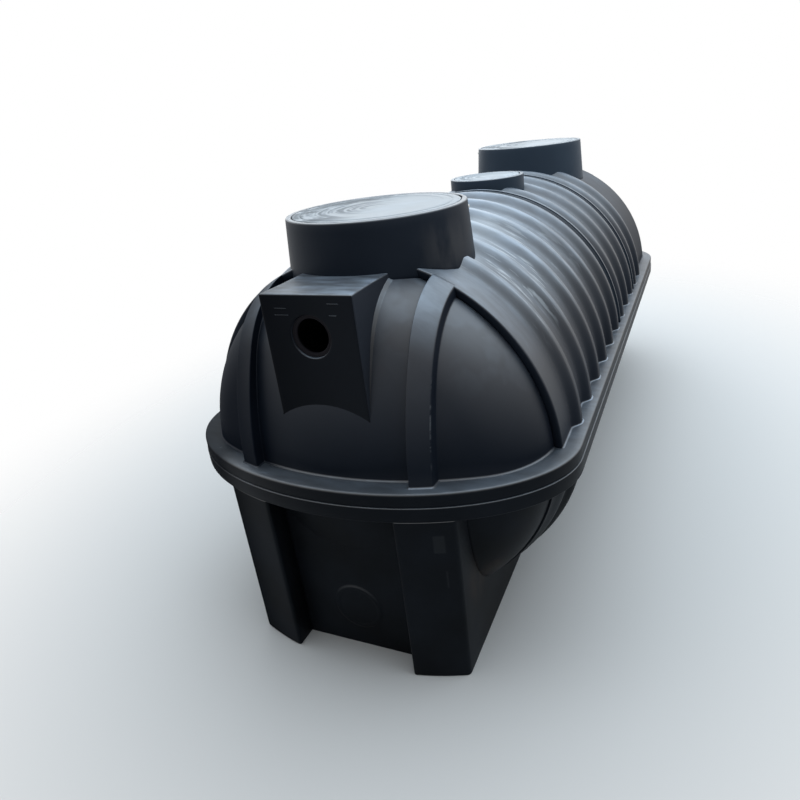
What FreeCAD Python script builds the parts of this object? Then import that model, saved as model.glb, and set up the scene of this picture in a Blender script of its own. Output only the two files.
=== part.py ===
"""Horizontal plastic septic tank: ribbed barrel, domed ends, three necks, a bolted flange and a pedestal.

Lengths are in millimetres. X is across the tank, Y runs along it with the inlet end at -Y, and Z is up.
The origin is on the ground under the middle of the tank.
"""

import FreeCAD, Part
import math
import os
import Sketcher

doc = FreeCAD.newDocument("SepticTank")

# Driving dimensions
SIZES = {
    "axis_height": 705,
    "wall": 10,
    "hull_radius": 666,
    "dome_depth": 384,
    "dome_knuckle": 300,
    "dome_place": 1315,
    "barrel_radius": 692,
    "barrel_end": 1360,
    "rib_start": -1157.7,
    "rib_pitch": 201.4,
    "rib_count": 11,
    "rib_height": 28,
    "rib_foot": 56,
    "rib_crest": 25,
    "rib_shoulder": 6,
    "flange_top": 754,
    "parting_height": 704,
    "flange_bottom": 650,
    "flange_half_width": 750,
    "flange_depth": 462,
    "flange_inner_half": 655,
    "flange_inner_depth": 345,
    "flange_skin": 12,
    "flange_step": 3,
    "strap_inner": 283,
    "strap_outer": 360,
    "strap_radius": 694.5,
    "strap_depth": 430,
    "strap_knuckle": 330,
    "seam_radius": 717,
    "seam_width": 18,
    "seam_middle": -50,
    "seam_rear": 554.2,
    "neck_place": 1125,
    "neck_radius": 320,
    "neck_top": 1518,
    "rear_neck_place": 1075,
    "rear_neck_top": 1545,
    "neck_root": 1240,
    "neck_draft": 20,
    "rim_wall": 19,
    "rim_depth": 12,
    "ledge_wall": 35,
    "lid_gap": 3,
    "middle_place": 167,
    "middle_radius": 190,
    "middle_top": 1460,
    "box_half_width": 162,
    "box_face": 1661,
    "box_top": 1355,
    "pipe_height": 1223,
    "pipe_hole": 69,
    "seal_bore": 55,
    "seal_length": 24,
    "leg_inner": 235,
    "leg_outer": 430,
    "leg_wall": 12,
    "recess_face": 1670,
    "boss_height": 180,
    "boss_radius": 100,
    "boss_rise": 4,
    "beyond": 900,
}

sheet = doc.addObject("Spreadsheet::Sheet", "Sizes")
for row, (name, value) in enumerate(SIZES.items(), start=1):
    sheet.set(f"A{row}", name)
    sheet.set(f"B{row}", str(value))
    sheet.setAlias(f"B{row}", name)
doc.recompute()


def sized(expression):
    """Write an expression on the driving dimensions with the sheet's name before each of them."""
    words = expression.replace("(", "( ").replace(")", " )").split()
    return " ".join(f"Sizes.{word}" if word in SIZES else word for word in words)


def value_of(expression):
    """Work out an expression on the driving dimensions."""
    return float(sheet.evalExpression(sized(expression)))


def bind(item, **expressions):
    """Tie properties of an object to the driving dimensions."""
    for name, expression in expressions.items():
        item.setExpression(name.replace("__", "."), sized(expression))
    return item


def place(item, x="0", y="0", z="0"):
    """Tie an object's position to the driving dimensions."""
    return bind(item, Placement__Base__x=x, Placement__Base__y=y, Placement__Base__z=z)


def origin_plane(body, role):
    """Find one of a body's own origin planes."""
    return next(item for item in body.Origin.OriginFeatures if item.Role == role)


def rounded(start, end, radius):
    """Join two points by an arc of a given radius that bulges to the right of the way from start to end."""
    chord = end - start
    normal = FreeCAD.Vector(chord.y, -chord.x, 0).normalize()
    sag = radius - math.sqrt(radius ** 2 - chord.Length ** 2 / 4)
    return Part.Arc(start, start + chord * 0.5 + normal * sag, end)


def outline(body, name, role, corners, arcs=None):
    """Draw a closed outline whose corners are expressions; arcs gives the radius of each rounded side."""
    arcs = arcs or {}
    sketch = body.newObject("Sketcher::SketchObject", name)
    sketch.AttachmentSupport = [(origin_plane(body, role), "")]
    sketch.MapMode = "FlatFace"
    spots = [FreeCAD.Vector(value_of(x), value_of(y), 0) for x, y in corners]
    for index, spot in enumerate(spots):
        following = spots[(index + 1) % len(spots)]
        side = Part.LineSegment(spot, following)
        if index in arcs:
            side = rounded(spot, following, value_of(arcs[index]))
        sketch.addGeometry(side, False)
    for index, (x, y) in enumerate(corners):
        after = (index + 1) % len(corners)
        sketch.addConstraint(Sketcher.Constraint("Coincident", index, 2, after, 1))
        across = sketch.addConstraint(Sketcher.Constraint("DistanceX", -1, 1, index, 1, spots[index].x))
        sketch.setExpression(f"Constraints[{across}]", sized(x))
        up = sketch.addConstraint(Sketcher.Constraint("DistanceY", -1, 1, index, 1, spots[index].y))
        sketch.setExpression(f"Constraints[{up}]", sized(y))
    for index, radius in arcs.items():
        bend = sketch.addConstraint(Sketcher.Constraint("Radius", index, value_of(radius)))
        sketch.setExpression(f"Constraints[{bend}]", sized(radius))
    doc.recompute()
    return sketch


def block(name, x_low, x_high, y_low, y_high, z_low, z_high):
    """Make a box between six planes."""
    item = doc.addObject("Part::Box", name)
    bind(item, Length=f"( {x_high} ) - ( {x_low} )", Width=f"( {y_high} ) - ( {y_low} )",
         Height=f"( {z_high} ) - ( {z_low} )")
    return place(item, x_low, y_low, z_low)


def cut(name, base, tool):
    """Take one shape away from another."""
    item = doc.addObject("Part::Cut", name)
    item.Base = base
    item.Tool = tool
    return item


def common(name, base, tool):
    """Keep what two shapes share."""
    item = doc.addObject("Part::Common", name)
    item.Base = base
    item.Tool = tool
    return item


def fuse(name, *shapes):
    """Join shapes."""
    item = doc.addObject("Part::MultiFuse", name)
    item.Shapes = list(shapes)
    return item


def mirrored(name, source, x=0, y=0):
    """Repeat a piece on the other side of the middle plane across X or across Y."""
    item = doc.addObject("Part::Mirroring", name)
    item.Source = source
    item.Normal = FreeCAD.Vector(x, y, 0)
    return item


pieces = []


def piece(label, item):
    """Give a finished sub-part its label and put it on the list of pieces to write."""
    item.Label = label
    pieces.append(item)
    return item


# The ribbed barrel: a smooth drum with one rib patterned along it, once outside and once inside the wall

def ribbed_drum(name, inset):
    """Make a solid drum with round corrugations, drawn in from the outer form by an inset."""
    body = doc.addObject("PartDesign::Body", name)
    place(body, z="axis_height")
    radius = f"barrel_radius - {inset}"
    end = f"( barrel_end - {inset} )"
    side = outline(body, f"{name}Side", "YZ_Plane",
                   [(f"- {end}", "0"), (f"- {end}", radius), (end, radius), (end, "0")])
    drum = body.newObject("PartDesign::Revolution", f"{name}Drum")
    drum.Profile = side
    drum.ReferenceAxis = (side, ["H_Axis"])
    drum.Angle = 360
    first = "rib_start"
    foot = f"( rib_foot - {inset} / 2 )"
    crest = f"( rib_crest - {inset} / 4 )"
    low = f"{radius} - 5"
    shoulder = f"{radius} + rib_height - rib_shoulder"
    top = f"{radius} + rib_height"
    section = outline(body, f"{name}Section", "YZ_Plane",
                      [(f"{first} - {foot}", low), (f"{first} - {foot}", radius),
                       (f"{first} - {crest}", shoulder), (f"{first} - {crest} / 2", top),
                       (f"{first} + {crest} / 2", top), (f"{first} + {crest}", shoulder),
                       (f"{first} + {foot}", radius), (f"{first} + {foot}", low)])
    rib = body.newObject("PartDesign::Revolution", f"{name}Rib")
    rib.Profile = section
    rib.ReferenceAxis = (section, ["H_Axis"])
    rib.Angle = 360
    doc.recompute()
    ribs = body.newObject("PartDesign::LinearPattern", f"{name}Ribs")
    ribs.Originals = [rib]
    ribs.Direction = (section, ["H_Axis"])
    bind(ribs, Length="rib_pitch * ( rib_count - 1 )", Occurrences="rib_count")
    body.Tip = ribs
    doc.recompute()
    return body


def dome(name, inset="0", radius="hull_radius", depth="dome_depth", knuckle="dome_knuckle"):
    """Make a solid end of revolution on the tank's axis, a round crown that runs into a tight knuckle."""
    crown = f"( ( {radius} - {knuckle} ) ^ 2 + {depth} ^ 2 - {knuckle} ^ 2 ) / 2 / ( {depth} - {knuckle} )"
    lean = f"( {knuckle} - {inset} ) / ( {crown} - {knuckle} )"
    body = doc.addObject("PartDesign::Body", name)
    place(body, z="axis_height")
    joint = (f"- dome_place - ( {crown} - {depth} ) * {lean}",
             f"( {radius} - {knuckle} ) * ( 1 + {lean} )")
    side = outline(body, f"{name}Side", "YZ_Plane",
                   [("- dome_place", "0"), ("- dome_place", f"{radius} - {inset}"), joint,
                    (f"- dome_place - {depth} + {inset}", "0")],
                   arcs={1: f"{knuckle} - {inset}", 2: f"{crown} - {inset}"})
    shell = body.newObject("PartDesign::Revolution", f"{name}Turned")
    shell.Profile = side
    shell.ReferenceAxis = (side, ["H_Axis"])
    shell.Angle = 360
    doc.recompute()
    return body


def neck_form(name, y, top, inset="0"):
    """Make the tapered solid of a wide neck, drawn in by an inset; a taller one keeps the same taper."""
    item = doc.addObject("Part::Cone", name)
    bind(item, Radius1=f"neck_radius + neck_draft - {inset}",
         Radius2=f"neck_radius - neck_draft * ( {top} - neck_top ) / ( neck_top - neck_root ) - {inset}",
         Height=f"{top} - neck_root")
    return place(item, y=y, z="neck_root")


def disc(name, y, radius, low, high):
    """Make an upright round disc."""
    item = doc.addObject("Part::Cylinder", name)
    bind(item, Radius=radius, Height=f"( {high} ) - ( {low} )")
    return place(item, y=y, z=low)


drum_outer = ribbed_drum("DrumOuter", "0")
drum_inner = ribbed_drum("DrumInner", "wall")
dome_outer = dome("DomeOuter")
dome_inner = dome("DomeInner", "wall")
rear_inner = mirrored("RearInner", dome_inner, y=1)
barrel_shell = cut("BarrelShell", drum_outer, fuse("BarrelHollow", drum_inner, dome_inner, rear_inner))
dome_shell = cut("DomeShell", dome_outer, dome_inner)

# Upper barrel, in three stretches of two segments, open under each neck
front_neck_form = neck_form("FrontNeckForm", "- neck_place", "neck_top")
middle_neck_form = disc("MiddleNeckForm", "middle_place", "middle_radius", "neck_root", "middle_top")
rear_neck_form = neck_form("RearNeckForm", "rear_neck_place", "rear_neck_top")
for stretch, low, high, form in [("front", "- barrel_end", "seam_middle", front_neck_form),
                                 ("middle", "seam_middle", "seam_rear", middle_neck_form),
                                 ("rear", "seam_rear", "barrel_end", rear_neck_form)]:
    title = stretch.capitalize()
    space = block(f"{title}Space", "- beyond", "0", low, high, "flange_top", "neck_top")
    left = cut(f"Upper{title}Left", common(f"{title}Ring", barrel_shell, space), form)
    piece(f"upper_barrel_{stretch}_left", left)
    piece(f"upper_barrel_{stretch}_right", mirrored(f"Upper{title}Right", left, x=1))

# Narrow seam bands over the joints between the stretches
drum_core = doc.addObject("Part::Cylinder", "DrumCore")
bind(drum_core, Radius="barrel_radius", Height="barrel_end * 2")
place(drum_core, y="barrel_end", z="axis_height")
drum_core.Placement.Rotation = FreeCAD.Rotation(FreeCAD.Vector(1, 0, 0), 90)
upper_space = block("UpperSpace", "- beyond", "beyond", "- barrel_end", "barrel_end",
                    "flange_top", "neck_top")
for label, name, middle in [("seam_band_middle", "SeamBandMiddle", "seam_middle"),
                            ("seam_band_rear", "SeamBandRear", "seam_rear")]:
    hoop = doc.addObject("Part::Cylinder", f"{name}Hoop")
    bind(hoop, Radius="seam_radius", Height="seam_width")
    place(hoop, y=f"{middle} + seam_width / 2", z="axis_height")
    hoop.Placement.Rotation = FreeCAD.Rotation(FreeCAD.Vector(1, 0, 0), 90)
    piece(label, common(name, cut(f"{name}Ring", hoop, drum_core), upper_space))

# Inlet and outlet box: a hollow moulded box on the dome, with a round hole for the pipe
box_form = block("BoxForm", "- box_half_width", "box_half_width", "- box_face", "- barrel_end",
                 "axis_height", "box_top")
box_hollow = block("BoxHollow", "wall - box_half_width", "box_half_width - wall", "wall - box_face",
                   "- barrel_end", "axis_height", "box_top - wall")
pipe_hole = doc.addObject("Part::Cylinder", "PipeHole")
bind(pipe_hole, Radius="pipe_hole", Height="wall * 4")
place(pipe_hole, y="wall * 3 - box_face", z="pipe_height")
pipe_hole.Placement.Rotation = FreeCAD.Rotation(FreeCAD.Vector(1, 0, 0), 90)
box_blank = cut("BoxBlank", box_form, fuse("BoxVoids", box_hollow, pipe_hole, dome_outer))
piece("inlet_box", cut("InletBox", box_blank, front_neck_form))
piece("outlet_box", cut("OutletBox", mirrored("RearBoxBlank", box_blank, y=1), rear_neck_form))

seal_body = doc.addObject("Part::Cylinder", "SealBody")
bind(seal_body, Radius="pipe_hole", Height="seal_length")
place(seal_body, y="seal_length - box_face", z="pipe_height")
seal_body.Placement.Rotation = FreeCAD.Rotation(FreeCAD.Vector(1, 0, 0), 90)
seal_hole = doc.addObject("Part::Cylinder", "SealHole")
bind(seal_hole, Radius="seal_bore", Height="seal_length * 2")
place(seal_hole, y="seal_length * 1.5 - box_face", z="pipe_height")
seal_hole.Placement.Rotation = FreeCAD.Rotation(FreeCAD.Vector(1, 0, 0), 90)
inlet_seal = cut("InletSeal", seal_body, seal_hole)
piece("inlet_seal", inlet_seal)
piece("outlet_seal", mirrored("OutletSeal", inlet_seal, y=1))

# Upper domes, open where the box and the neck stand on them
dome_space = block("DomeSpace", "- beyond", "beyond", "- beyond * 2", "- barrel_end",
                   "flange_top", "neck_top")
dome_quarter = common("DomeQuarter", dome_shell, dome_space)
front_voids = fuse("FrontVoids", box_hollow, front_neck_form)
piece("front_dome", cut("FrontDome", dome_quarter, front_voids))
rear_voids = fuse("RearVoids", mirrored("RearBoxHollow", box_hollow, y=1), rear_neck_form)
piece("rear_dome", cut("RearDome", mirrored("RearQuarter", dome_quarter, y=1), rear_voids))

# Straps: raised bands over the dome from the barrel's end to the flange
strap_form = dome("StrapForm", radius="strap_radius", depth="strap_depth", knuckle="strap_knuckle")
strap_slab = block("StrapSlab", "- strap_outer", "- strap_inner", "- beyond * 2", "- barrel_end",
                   "flange_top", "neck_top")
strap_blank = common("StrapBlank", strap_form, strap_slab)
strap_left = cut("StrapLeft", strap_blank, dome_outer)
strap_right = mirrored("StrapRight", strap_left, x=1)
piece("front_strap_left", strap_left)
piece("front_strap_right", strap_right)
piece("rear_strap_left", mirrored("RearStrapLeft", strap_left, y=1))
piece("rear_strap_right", mirrored("RearStrapRight", strap_right, y=1))

# Necks: tapered walls with a stepped rim that holds a flat lid
for end, y, top, form, dome_hollow in [
        ("front", "- neck_place", "neck_top", front_neck_form, dome_inner),
        ("rear", "rear_neck_place", "rear_neck_top", rear_neck_form, rear_inner)]:
    title = end.capitalize()
    seat = disc(f"{title}Seat", y, "neck_radius - rim_wall", f"{top} - rim_depth", top)
    core = fuse(f"{title}Core", neck_form(f"{title}Inside", y, top, "ledge_wall"), seat)
    inside = fuse(f"{title}DrumInside", drum_inner, dome_hollow)
    piece(f"{end}_neck", cut(f"{title}Neck", cut(f"{title}Tube", form, core), inside))
    piece(f"{end}_lid", disc(f"{title}Lid", y, "neck_radius - rim_wall - lid_gap", f"{top} - rim_depth",
                             top))

middle_core = fuse("MiddleCore",
                   disc("MiddleInside", "middle_place", "middle_radius - ledge_wall", "neck_root",
                        "middle_top"),
                   disc("MiddleSeat", "middle_place", "middle_radius - rim_wall",
                        "middle_top - rim_depth", "middle_top"))
middle_tube = cut("MiddleTube", middle_neck_form, middle_core)
piece("middle_neck", cut("MiddleNeck", middle_tube, drum_inner))
piece("middle_lid", disc("MiddleLid", "middle_place", "middle_radius - rim_wall - lid_gap",
                         "middle_top - rim_depth", "middle_top"))


# Flange rings: a long ring with half-ellipse ends, hollow inside, in an upper and a lower half

def long_ring(name, half_width, depth, low, high):
    """Make a solid slab with parallel sides and half-ellipse ends."""
    middle = block(f"{name}Middle", f"- ( {half_width} )", half_width, "- dome_place", "dome_place",
                   low, high)
    ends = []
    for end, y in [("Front", "- dome_place"), ("Rear", "dome_place")]:
        face = doc.addObject("Part::Ellipse", f"{name}{end}Edge")
        bind(face, MajorRadius=half_width, MinorRadius=depth)
        place(face, y=y, z=low)
        slab = doc.addObject("Part::Extrusion", f"{name}{end}")
        slab.Base = face
        slab.DirMode = "Custom"
        slab.Dir = FreeCAD.Vector(0, 0, 1)
        slab.Solid = True
        bind(slab, LengthFwd=f"( {high} ) - ( {low} )")
        ends.append(slab)
    return fuse(name, middle, *ends)


def flange_ring(name, step, low, high, open_low, open_high):
    """Make one hollow half of the flange, whose channel is open towards the other half."""
    outside = long_ring(f"{name}Outside", f"flange_half_width - {step}", f"flange_depth - {step}", low, high)
    inside = long_ring(f"{name}Inside", "flange_inner_half", "flange_inner_depth", low, high)
    channel_out = long_ring(f"{name}ChannelOut", f"flange_half_width - {step} - flange_skin",
                            f"flange_depth - {step} - flange_skin", open_low, open_high)
    channel_in = long_ring(f"{name}ChannelIn", "flange_inner_half + flange_skin",
                           "flange_inner_depth + flange_skin", open_low, open_high)
    channel = cut(f"{name}Channel", channel_out, channel_in)
    return cut(name, cut(f"{name}Band", outside, inside), channel)


piece("upper_flange", flange_ring("UpperFlange", "flange_step", "parting_height", "flange_top",
                                  "parting_height", "flange_top - flange_skin"))
piece("lower_flange", flange_ring("LowerFlange", "0", "flange_bottom", "parting_height",
                                  "flange_bottom + flange_skin", "parting_height"))

# Lower half: ribbed barrel sides, dome cheeks, pedestal walls, legs, recess panels and floor
lower_left_space = block("LowerLeftSpace", "- beyond", "leg_wall - leg_outer", "- barrel_end",
                         "barrel_end", "0", "flange_bottom")
lower_left = common("LowerLeft", barrel_shell, lower_left_space)
piece("lower_barrel_left", lower_left)
piece("lower_barrel_right", mirrored("LowerRight", lower_left, x=1))

cheek_space = block("CheekSpace", "- beyond", "leg_wall - leg_outer", "- beyond * 2", "- barrel_end",
                    "0", "flange_bottom")
cheek_left = common("CheekLeft", dome_shell, cheek_space)
cheek_right = mirrored("CheekRight", cheek_left, x=1)
piece("lower_cheek_front_left", cheek_left)
piece("lower_cheek_front_right", cheek_right)
piece("lower_cheek_rear_left", mirrored("CheekRearLeft", cheek_left, y=1))
piece("lower_cheek_rear_right", mirrored("CheekRearRight", cheek_right, y=1))

side_blank = block("SideBlank", "- leg_outer", "leg_wall - leg_outer", "- barrel_end", "barrel_end",
                   "0", "flange_bottom")
side_left = cut("SideLeft", side_blank, drum_outer)
piece("pedestal_side_left", side_left)
piece("pedestal_side_right", mirrored("SideRight", side_left, x=1))

leg_plan = long_ring("LegPlan", "flange_half_width", "flange_depth", "0", "flange_bottom")
leg_space = block("LegSpace", "- leg_outer", "- leg_inner", "- beyond * 2", "- barrel_end",
                  "0", "flange_bottom")
leg_core_plan = long_ring("LegCorePlan", "flange_half_width - leg_wall", "flange_depth - leg_wall",
                          "leg_wall", "flange_bottom")
leg_core_space = block("LegCoreSpace", "leg_wall - leg_outer", "- leg_inner - leg_wall", "- beyond * 2",
                       "- barrel_end", "leg_wall", "flange_bottom")
leg_core_back = block("LegCoreBack", "leg_wall - leg_outer", "- leg_inner", "- recess_face",
                      "- barrel_end", "0", "flange_bottom")
leg_front_core = common("LegFrontCore", leg_core_plan, leg_core_space)
leg_core = fuse("LegCore", leg_front_core, leg_core_back, dome_outer)
leg_left = cut("LegLeft", common("LegBlank", leg_plan, leg_space), leg_core)
leg_right = mirrored("LegRight", leg_left, x=1)
piece("front_leg_left", leg_left)
piece("front_leg_right", leg_right)
piece("rear_leg_left", mirrored("RearLegLeft", leg_left, y=1))
piece("rear_leg_right", mirrored("RearLegRight", leg_right, y=1))

panel_plate = block("PanelPlate", "- leg_inner", "leg_inner", "- recess_face", "wall - recess_face",
                    "0", "flange_bottom")
panel_boss = doc.addObject("Part::Cylinder", "PanelBoss")
bind(panel_boss, Radius="boss_radius", Height="boss_rise + wall")
place(panel_boss, y="wall - recess_face", z="boss_height")
panel_boss.Placement.Rotation = FreeCAD.Rotation(FreeCAD.Vector(1, 0, 0), 90)
front_panel = fuse("FrontPanel", panel_plate, panel_boss)
piece("front_recess_panel", front_panel)
piece("rear_recess_panel", mirrored("RearPanel", front_panel, y=1))

piece("pedestal_floor", block("PedestalFloor", "leg_wall - leg_outer", "leg_outer - leg_wall",
                              "wall - recess_face", "recess_face - wall", "0", "leg_wall"))

# Build everything, check it and write the pieces
doc.recompute()
for item in doc.Objects:
    if "Invalid" in item.State or "Error" in item.State:
        raise RuntimeError(f"{item.Name} could not be built: {item.State}")
os.makedirs("parts", exist_ok=True)
for item in pieces:
    if item.Shape.isNull() or not item.Shape.isValid() or not item.Shape.Solids:
        raise RuntimeError(f"{item.Label} is not a sound solid")
    item.Shape.exportStep(f"parts/{item.Label}.step")
    print(item.Label, len(item.Shape.Solids), round(item.Shape.Volume / 1e3), "cm3")
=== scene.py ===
"""Looks of a horizontal moulded septic tank: ribbed barrel, domed ends, necks, flange and pedestal.

Lengths are in metres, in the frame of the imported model: X across, Y along the tank with the inlet
end at -Y, Z up, and the origin on the ground under the middle of the tank.
"""

import logging
import math
from collections.abc import Callable
from dataclasses import dataclass
from enum import Enum

import bmesh
import bpy
import numpy as np
from bpy.types import Material, Mesh, NodeSocket, Object
from mathutils import Matrix, Vector


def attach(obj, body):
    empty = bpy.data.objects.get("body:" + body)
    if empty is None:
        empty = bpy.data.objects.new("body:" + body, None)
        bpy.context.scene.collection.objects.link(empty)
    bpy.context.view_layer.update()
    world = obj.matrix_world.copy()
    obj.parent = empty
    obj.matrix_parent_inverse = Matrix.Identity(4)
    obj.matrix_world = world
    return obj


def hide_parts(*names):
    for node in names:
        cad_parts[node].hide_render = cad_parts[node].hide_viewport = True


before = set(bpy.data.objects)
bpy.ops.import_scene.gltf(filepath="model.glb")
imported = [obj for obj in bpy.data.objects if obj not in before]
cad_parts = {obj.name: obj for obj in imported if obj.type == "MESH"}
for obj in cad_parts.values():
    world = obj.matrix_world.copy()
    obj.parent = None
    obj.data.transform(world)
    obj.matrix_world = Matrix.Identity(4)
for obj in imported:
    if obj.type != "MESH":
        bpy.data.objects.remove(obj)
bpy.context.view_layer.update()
BODY = "root"
MERGE_DISTANCE = 1e-5
FULL_TURN = 2.0 * math.pi

# Run outwards and height of the points of the curve at a wall's foot, in fillet radii
LEDGE_CURVE = ((0.15, -0.5), (0.5, -0.8), (1.0, -0.95), (1.1, -1.3))

log = logging.getLogger("septic_tank")


class Slot(Enum):
    """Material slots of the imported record."""

    HULL = "hull"
    LID = "lid"
    SEAL = "seal"


class End(Enum):
    """The two ends of the tank, with the sign of Y that each one has."""

    FRONT = -1
    REAR = 1


class Side(Enum):
    """The two sides of the tank, with the sign of X that each one has."""

    LEFT = -1
    RIGHT = 1


# Node trees


class Wire:
    """A socket that can be added, multiplied and compared like a number."""

    def __init__(self, tree: "NodeTree", socket: NodeSocket) -> None:
        """Keep the socket and the tree it belongs to."""
        self.tree = tree
        self.socket = socket

    def _math(self, operation: str, first: "Wire | float", second: "Wire | float" = 0.0) -> "Wire":
        """Add a Math node and return its result."""
        return self.tree.add("ShaderNodeMath", {"operation": operation}, {0: first, 1: second})

    def __add__(self, other: "Wire | float") -> "Wire":
        """Add."""
        return self._math("ADD", self, other)

    __radd__ = __add__

    def __mul__(self, other: "Wire | float") -> "Wire":
        """Multiply."""
        return self._math("MULTIPLY", self, other)

    __rmul__ = __mul__

    def __sub__(self, other: "Wire | float") -> "Wire":
        """Subtract the other from this one."""
        return self._math("SUBTRACT", self, other)

    def __rsub__(self, other: "Wire | float") -> "Wire":
        """Subtract this one from the other."""
        return self._math("SUBTRACT", other, self)

    def __truediv__(self, other: "Wire | float") -> "Wire":
        """Divide this one by the other."""
        return self._math("DIVIDE", self, other)

    def __abs__(self) -> "Wire":
        """Drop the sign."""
        return self._math("ABSOLUTE", self)

    def larger(self, other: "Wire | float") -> "Wire":
        """Take the larger of the two."""
        return self._math("MAXIMUM", self, other)

    def band(self, low: float, high: float) -> "Wire":
        """Make a mask that rises smoothly from 0 at low to 1 at high."""
        settings = {"interpolation_type": "SMOOTHSTEP"}
        return self.tree.add("ShaderNodeMapRange", settings, {0: self, 1: low, 2: high, 3: 0.0, 4: 1.0})

    def window(self, rise: tuple[float, float], fall: tuple[float, float]) -> "Wire":
        """Make a mask that rises over one stretch and falls again over another."""
        return self.band(*rise) * (1.0 - self.band(*fall))


class NodeTree:
    """A node tree with one method that makes nodes."""

    def __init__(self, tree: bpy.types.NodeTree) -> None:
        """Take over a tree and empty it.

        Args:
            tree: Blender's tree.
        """
        self.nodes = tree.nodes
        self.links = tree.links
        self.nodes.clear()

    def add(self, kind: str, settings: dict | None = None, inputs: dict | None = None,
            output: int | str = 0) -> Wire:
        """Make a node.

        Args:
            kind: Blender's name of the node type.
            settings: Properties to set first.
            inputs: Values or wires for its sockets, by index or name.
            output: The socket to return.

        Returns:
            The chosen output socket as a wire, which is empty for a node without outputs.
        """
        node = self.nodes.new(kind)
        for key, value in (settings or {}).items():
            setattr(node, key, value)
        for key, value in (inputs or {}).items():
            if isinstance(value, Wire):
                self.links.new(value.socket, node.inputs[key])
            else:
                node.inputs[key].default_value = value
        return Wire(self, node.outputs[output] if node.outputs else None)


class ShaderTree(NodeTree):
    """A material's node tree, with what the finishes share."""

    def __init__(self, name: str) -> None:
        """Make an empty material and find the place on the surface.

        Args:
            name: Name of the material.
        """
        self.material = bpy.data.materials.new(name)
        self.material.use_nodes = True
        super().__init__(self.material.node_tree)
        self.point = self.add("ShaderNodeTexCoord", None, None, "Object")
        self.x, self.y, self.z = (self.part(self.point, axis) for axis in "XYZ")

    def part(self, vector: Wire, axis: str) -> Wire:
        """Take one part of a vector."""
        return self.add("ShaderNodeSeparateXYZ", None, {0: vector}, axis)

    def length(self, vector: Wire) -> Wire:
        """Measure a vector."""
        return self.add("ShaderNodeVectorMath", {"operation": "LENGTH"}, {0: vector}, "Value")

    def noise(self, scale: float, detail: float = 3.0, stretch: tuple = (1.0, 1.0, 1.0),
              point: Wire | None = None) -> Wire:
        """Sample soft noise.

        Args:
            scale: Cells a metre.
            detail: Octaves.
            stretch: Scale of each axis before sampling.
            point: Where to sample, if not at the place on the surface.

        Returns:
            The noise, from 0 to 1.
        """
        place = self.add("ShaderNodeMapping", None, {"Vector": point or self.point, "Scale": stretch})
        return self.add("ShaderNodeTexNoise", None, {"Vector": place, "Scale": scale, "Detail": detail})

    def blend(self, factor: Wire | float, first: Wire | tuple, second: Wire | tuple) -> Wire:
        """Mix two colours, the second one by the factor."""
        colours = [c if isinstance(c, Wire) else (*c, 1.0) for c in (first, second)]
        return self.add("ShaderNodeMix", {"data_type": "RGBA"}, {0: factor, 6: colours[0], 7: colours[1]}, 2)

    def bump(self, strength: float, height: Wire) -> Wire:
        """Turn a height into a normal."""
        return self.add("ShaderNodeBump", None, {"Strength": strength, "Distance": 1.0, "Height": height})

    def finish(self, shader: Wire) -> Material:
        """Join a shader to the output and return the material."""
        self.add("ShaderNodeOutputMaterial", None, {"Surface": shader})
        return self.material


class RepeatTree(NodeTree):
    """A Geometry Nodes tree that sets copies of its seed on points and gives them one finish."""

    def __init__(self, name: str, values: dict[str, tuple]) -> None:
        """Make a tree with named inputs.

        Args:
            name: Name of the tree.
            values: Kind of socket and value of each input beside the seed.
        """
        self.group = bpy.data.node_groups.new(name, "GeometryNodeTree")
        self.values = {key: value for key, (_, value) in values.items()}
        super().__init__(self.group)
        kinds = {"Seed": "Geometry"} | {key: kind for key, (kind, _) in values.items()}
        for key, kind in kinds.items():
            self.group.interface.new_socket(key, in_out="INPUT", socket_type=f"NodeSocket{kind}")
        self.group.interface.new_socket("Geometry", in_out="OUTPUT", socket_type="NodeSocketGeometry")
        self.source = self.nodes.new("NodeGroupInput")

    def given(self, name: str) -> Wire:
        """Take one of the tree's own inputs."""
        return Wire(self, self.source.outputs[name])

    def spread(self, points: Wire, turn: Wire | tuple = (0.0, 0.0, 0.0)) -> None:
        """Set a copy of the seed on each point and send the painted result to the output.

        Args:
            points: The points.
            turn: Turn of each copy.
        """
        seed = self.add("GeometryNodeGeometryToInstance", None, {0: self.given("Seed")})
        copies = self.add("GeometryNodeInstanceOnPoints", None, {
            "Points": points, "Instance": seed, "Rotation": turn})
        whole = self.add("GeometryNodeRealizeInstances", None, {"Geometry": copies})
        merged = self.add("GeometryNodeMergeByDistance", None, {
            "Geometry": whole, "Distance": MERGE_DISTANCE})
        painted = self.add("GeometryNodeSetMaterial", None, {
            "Geometry": merged, "Material": self.given("Finish")})
        self.add("NodeGroupOutput", None, {"Geometry": painted})

    def grow(self, seed: Object) -> Mesh:
        """Run the tree on a seed object and keep the result as a plain mesh.

        Args:
            seed: The object that the tree starts from, which is deleted.

        Returns:
            The evaluated mesh.
        """
        modifier = seed.modifiers.new("repeat", "NODES")
        modifier.node_group = self.group
        sockets = {item.name: item.identifier for item in self.group.interface.items_tree
                   if item.in_out == "INPUT"}
        for name, value in self.values.items():
            modifier[sockets[name]] = value
        mesh = bpy.data.meshes.new_from_object(seed.evaluated_get(bpy.context.evaluated_depsgraph_get()))
        bpy.data.objects.remove(seed)
        shade_smooth(mesh)
        return mesh


# Finishes


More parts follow.
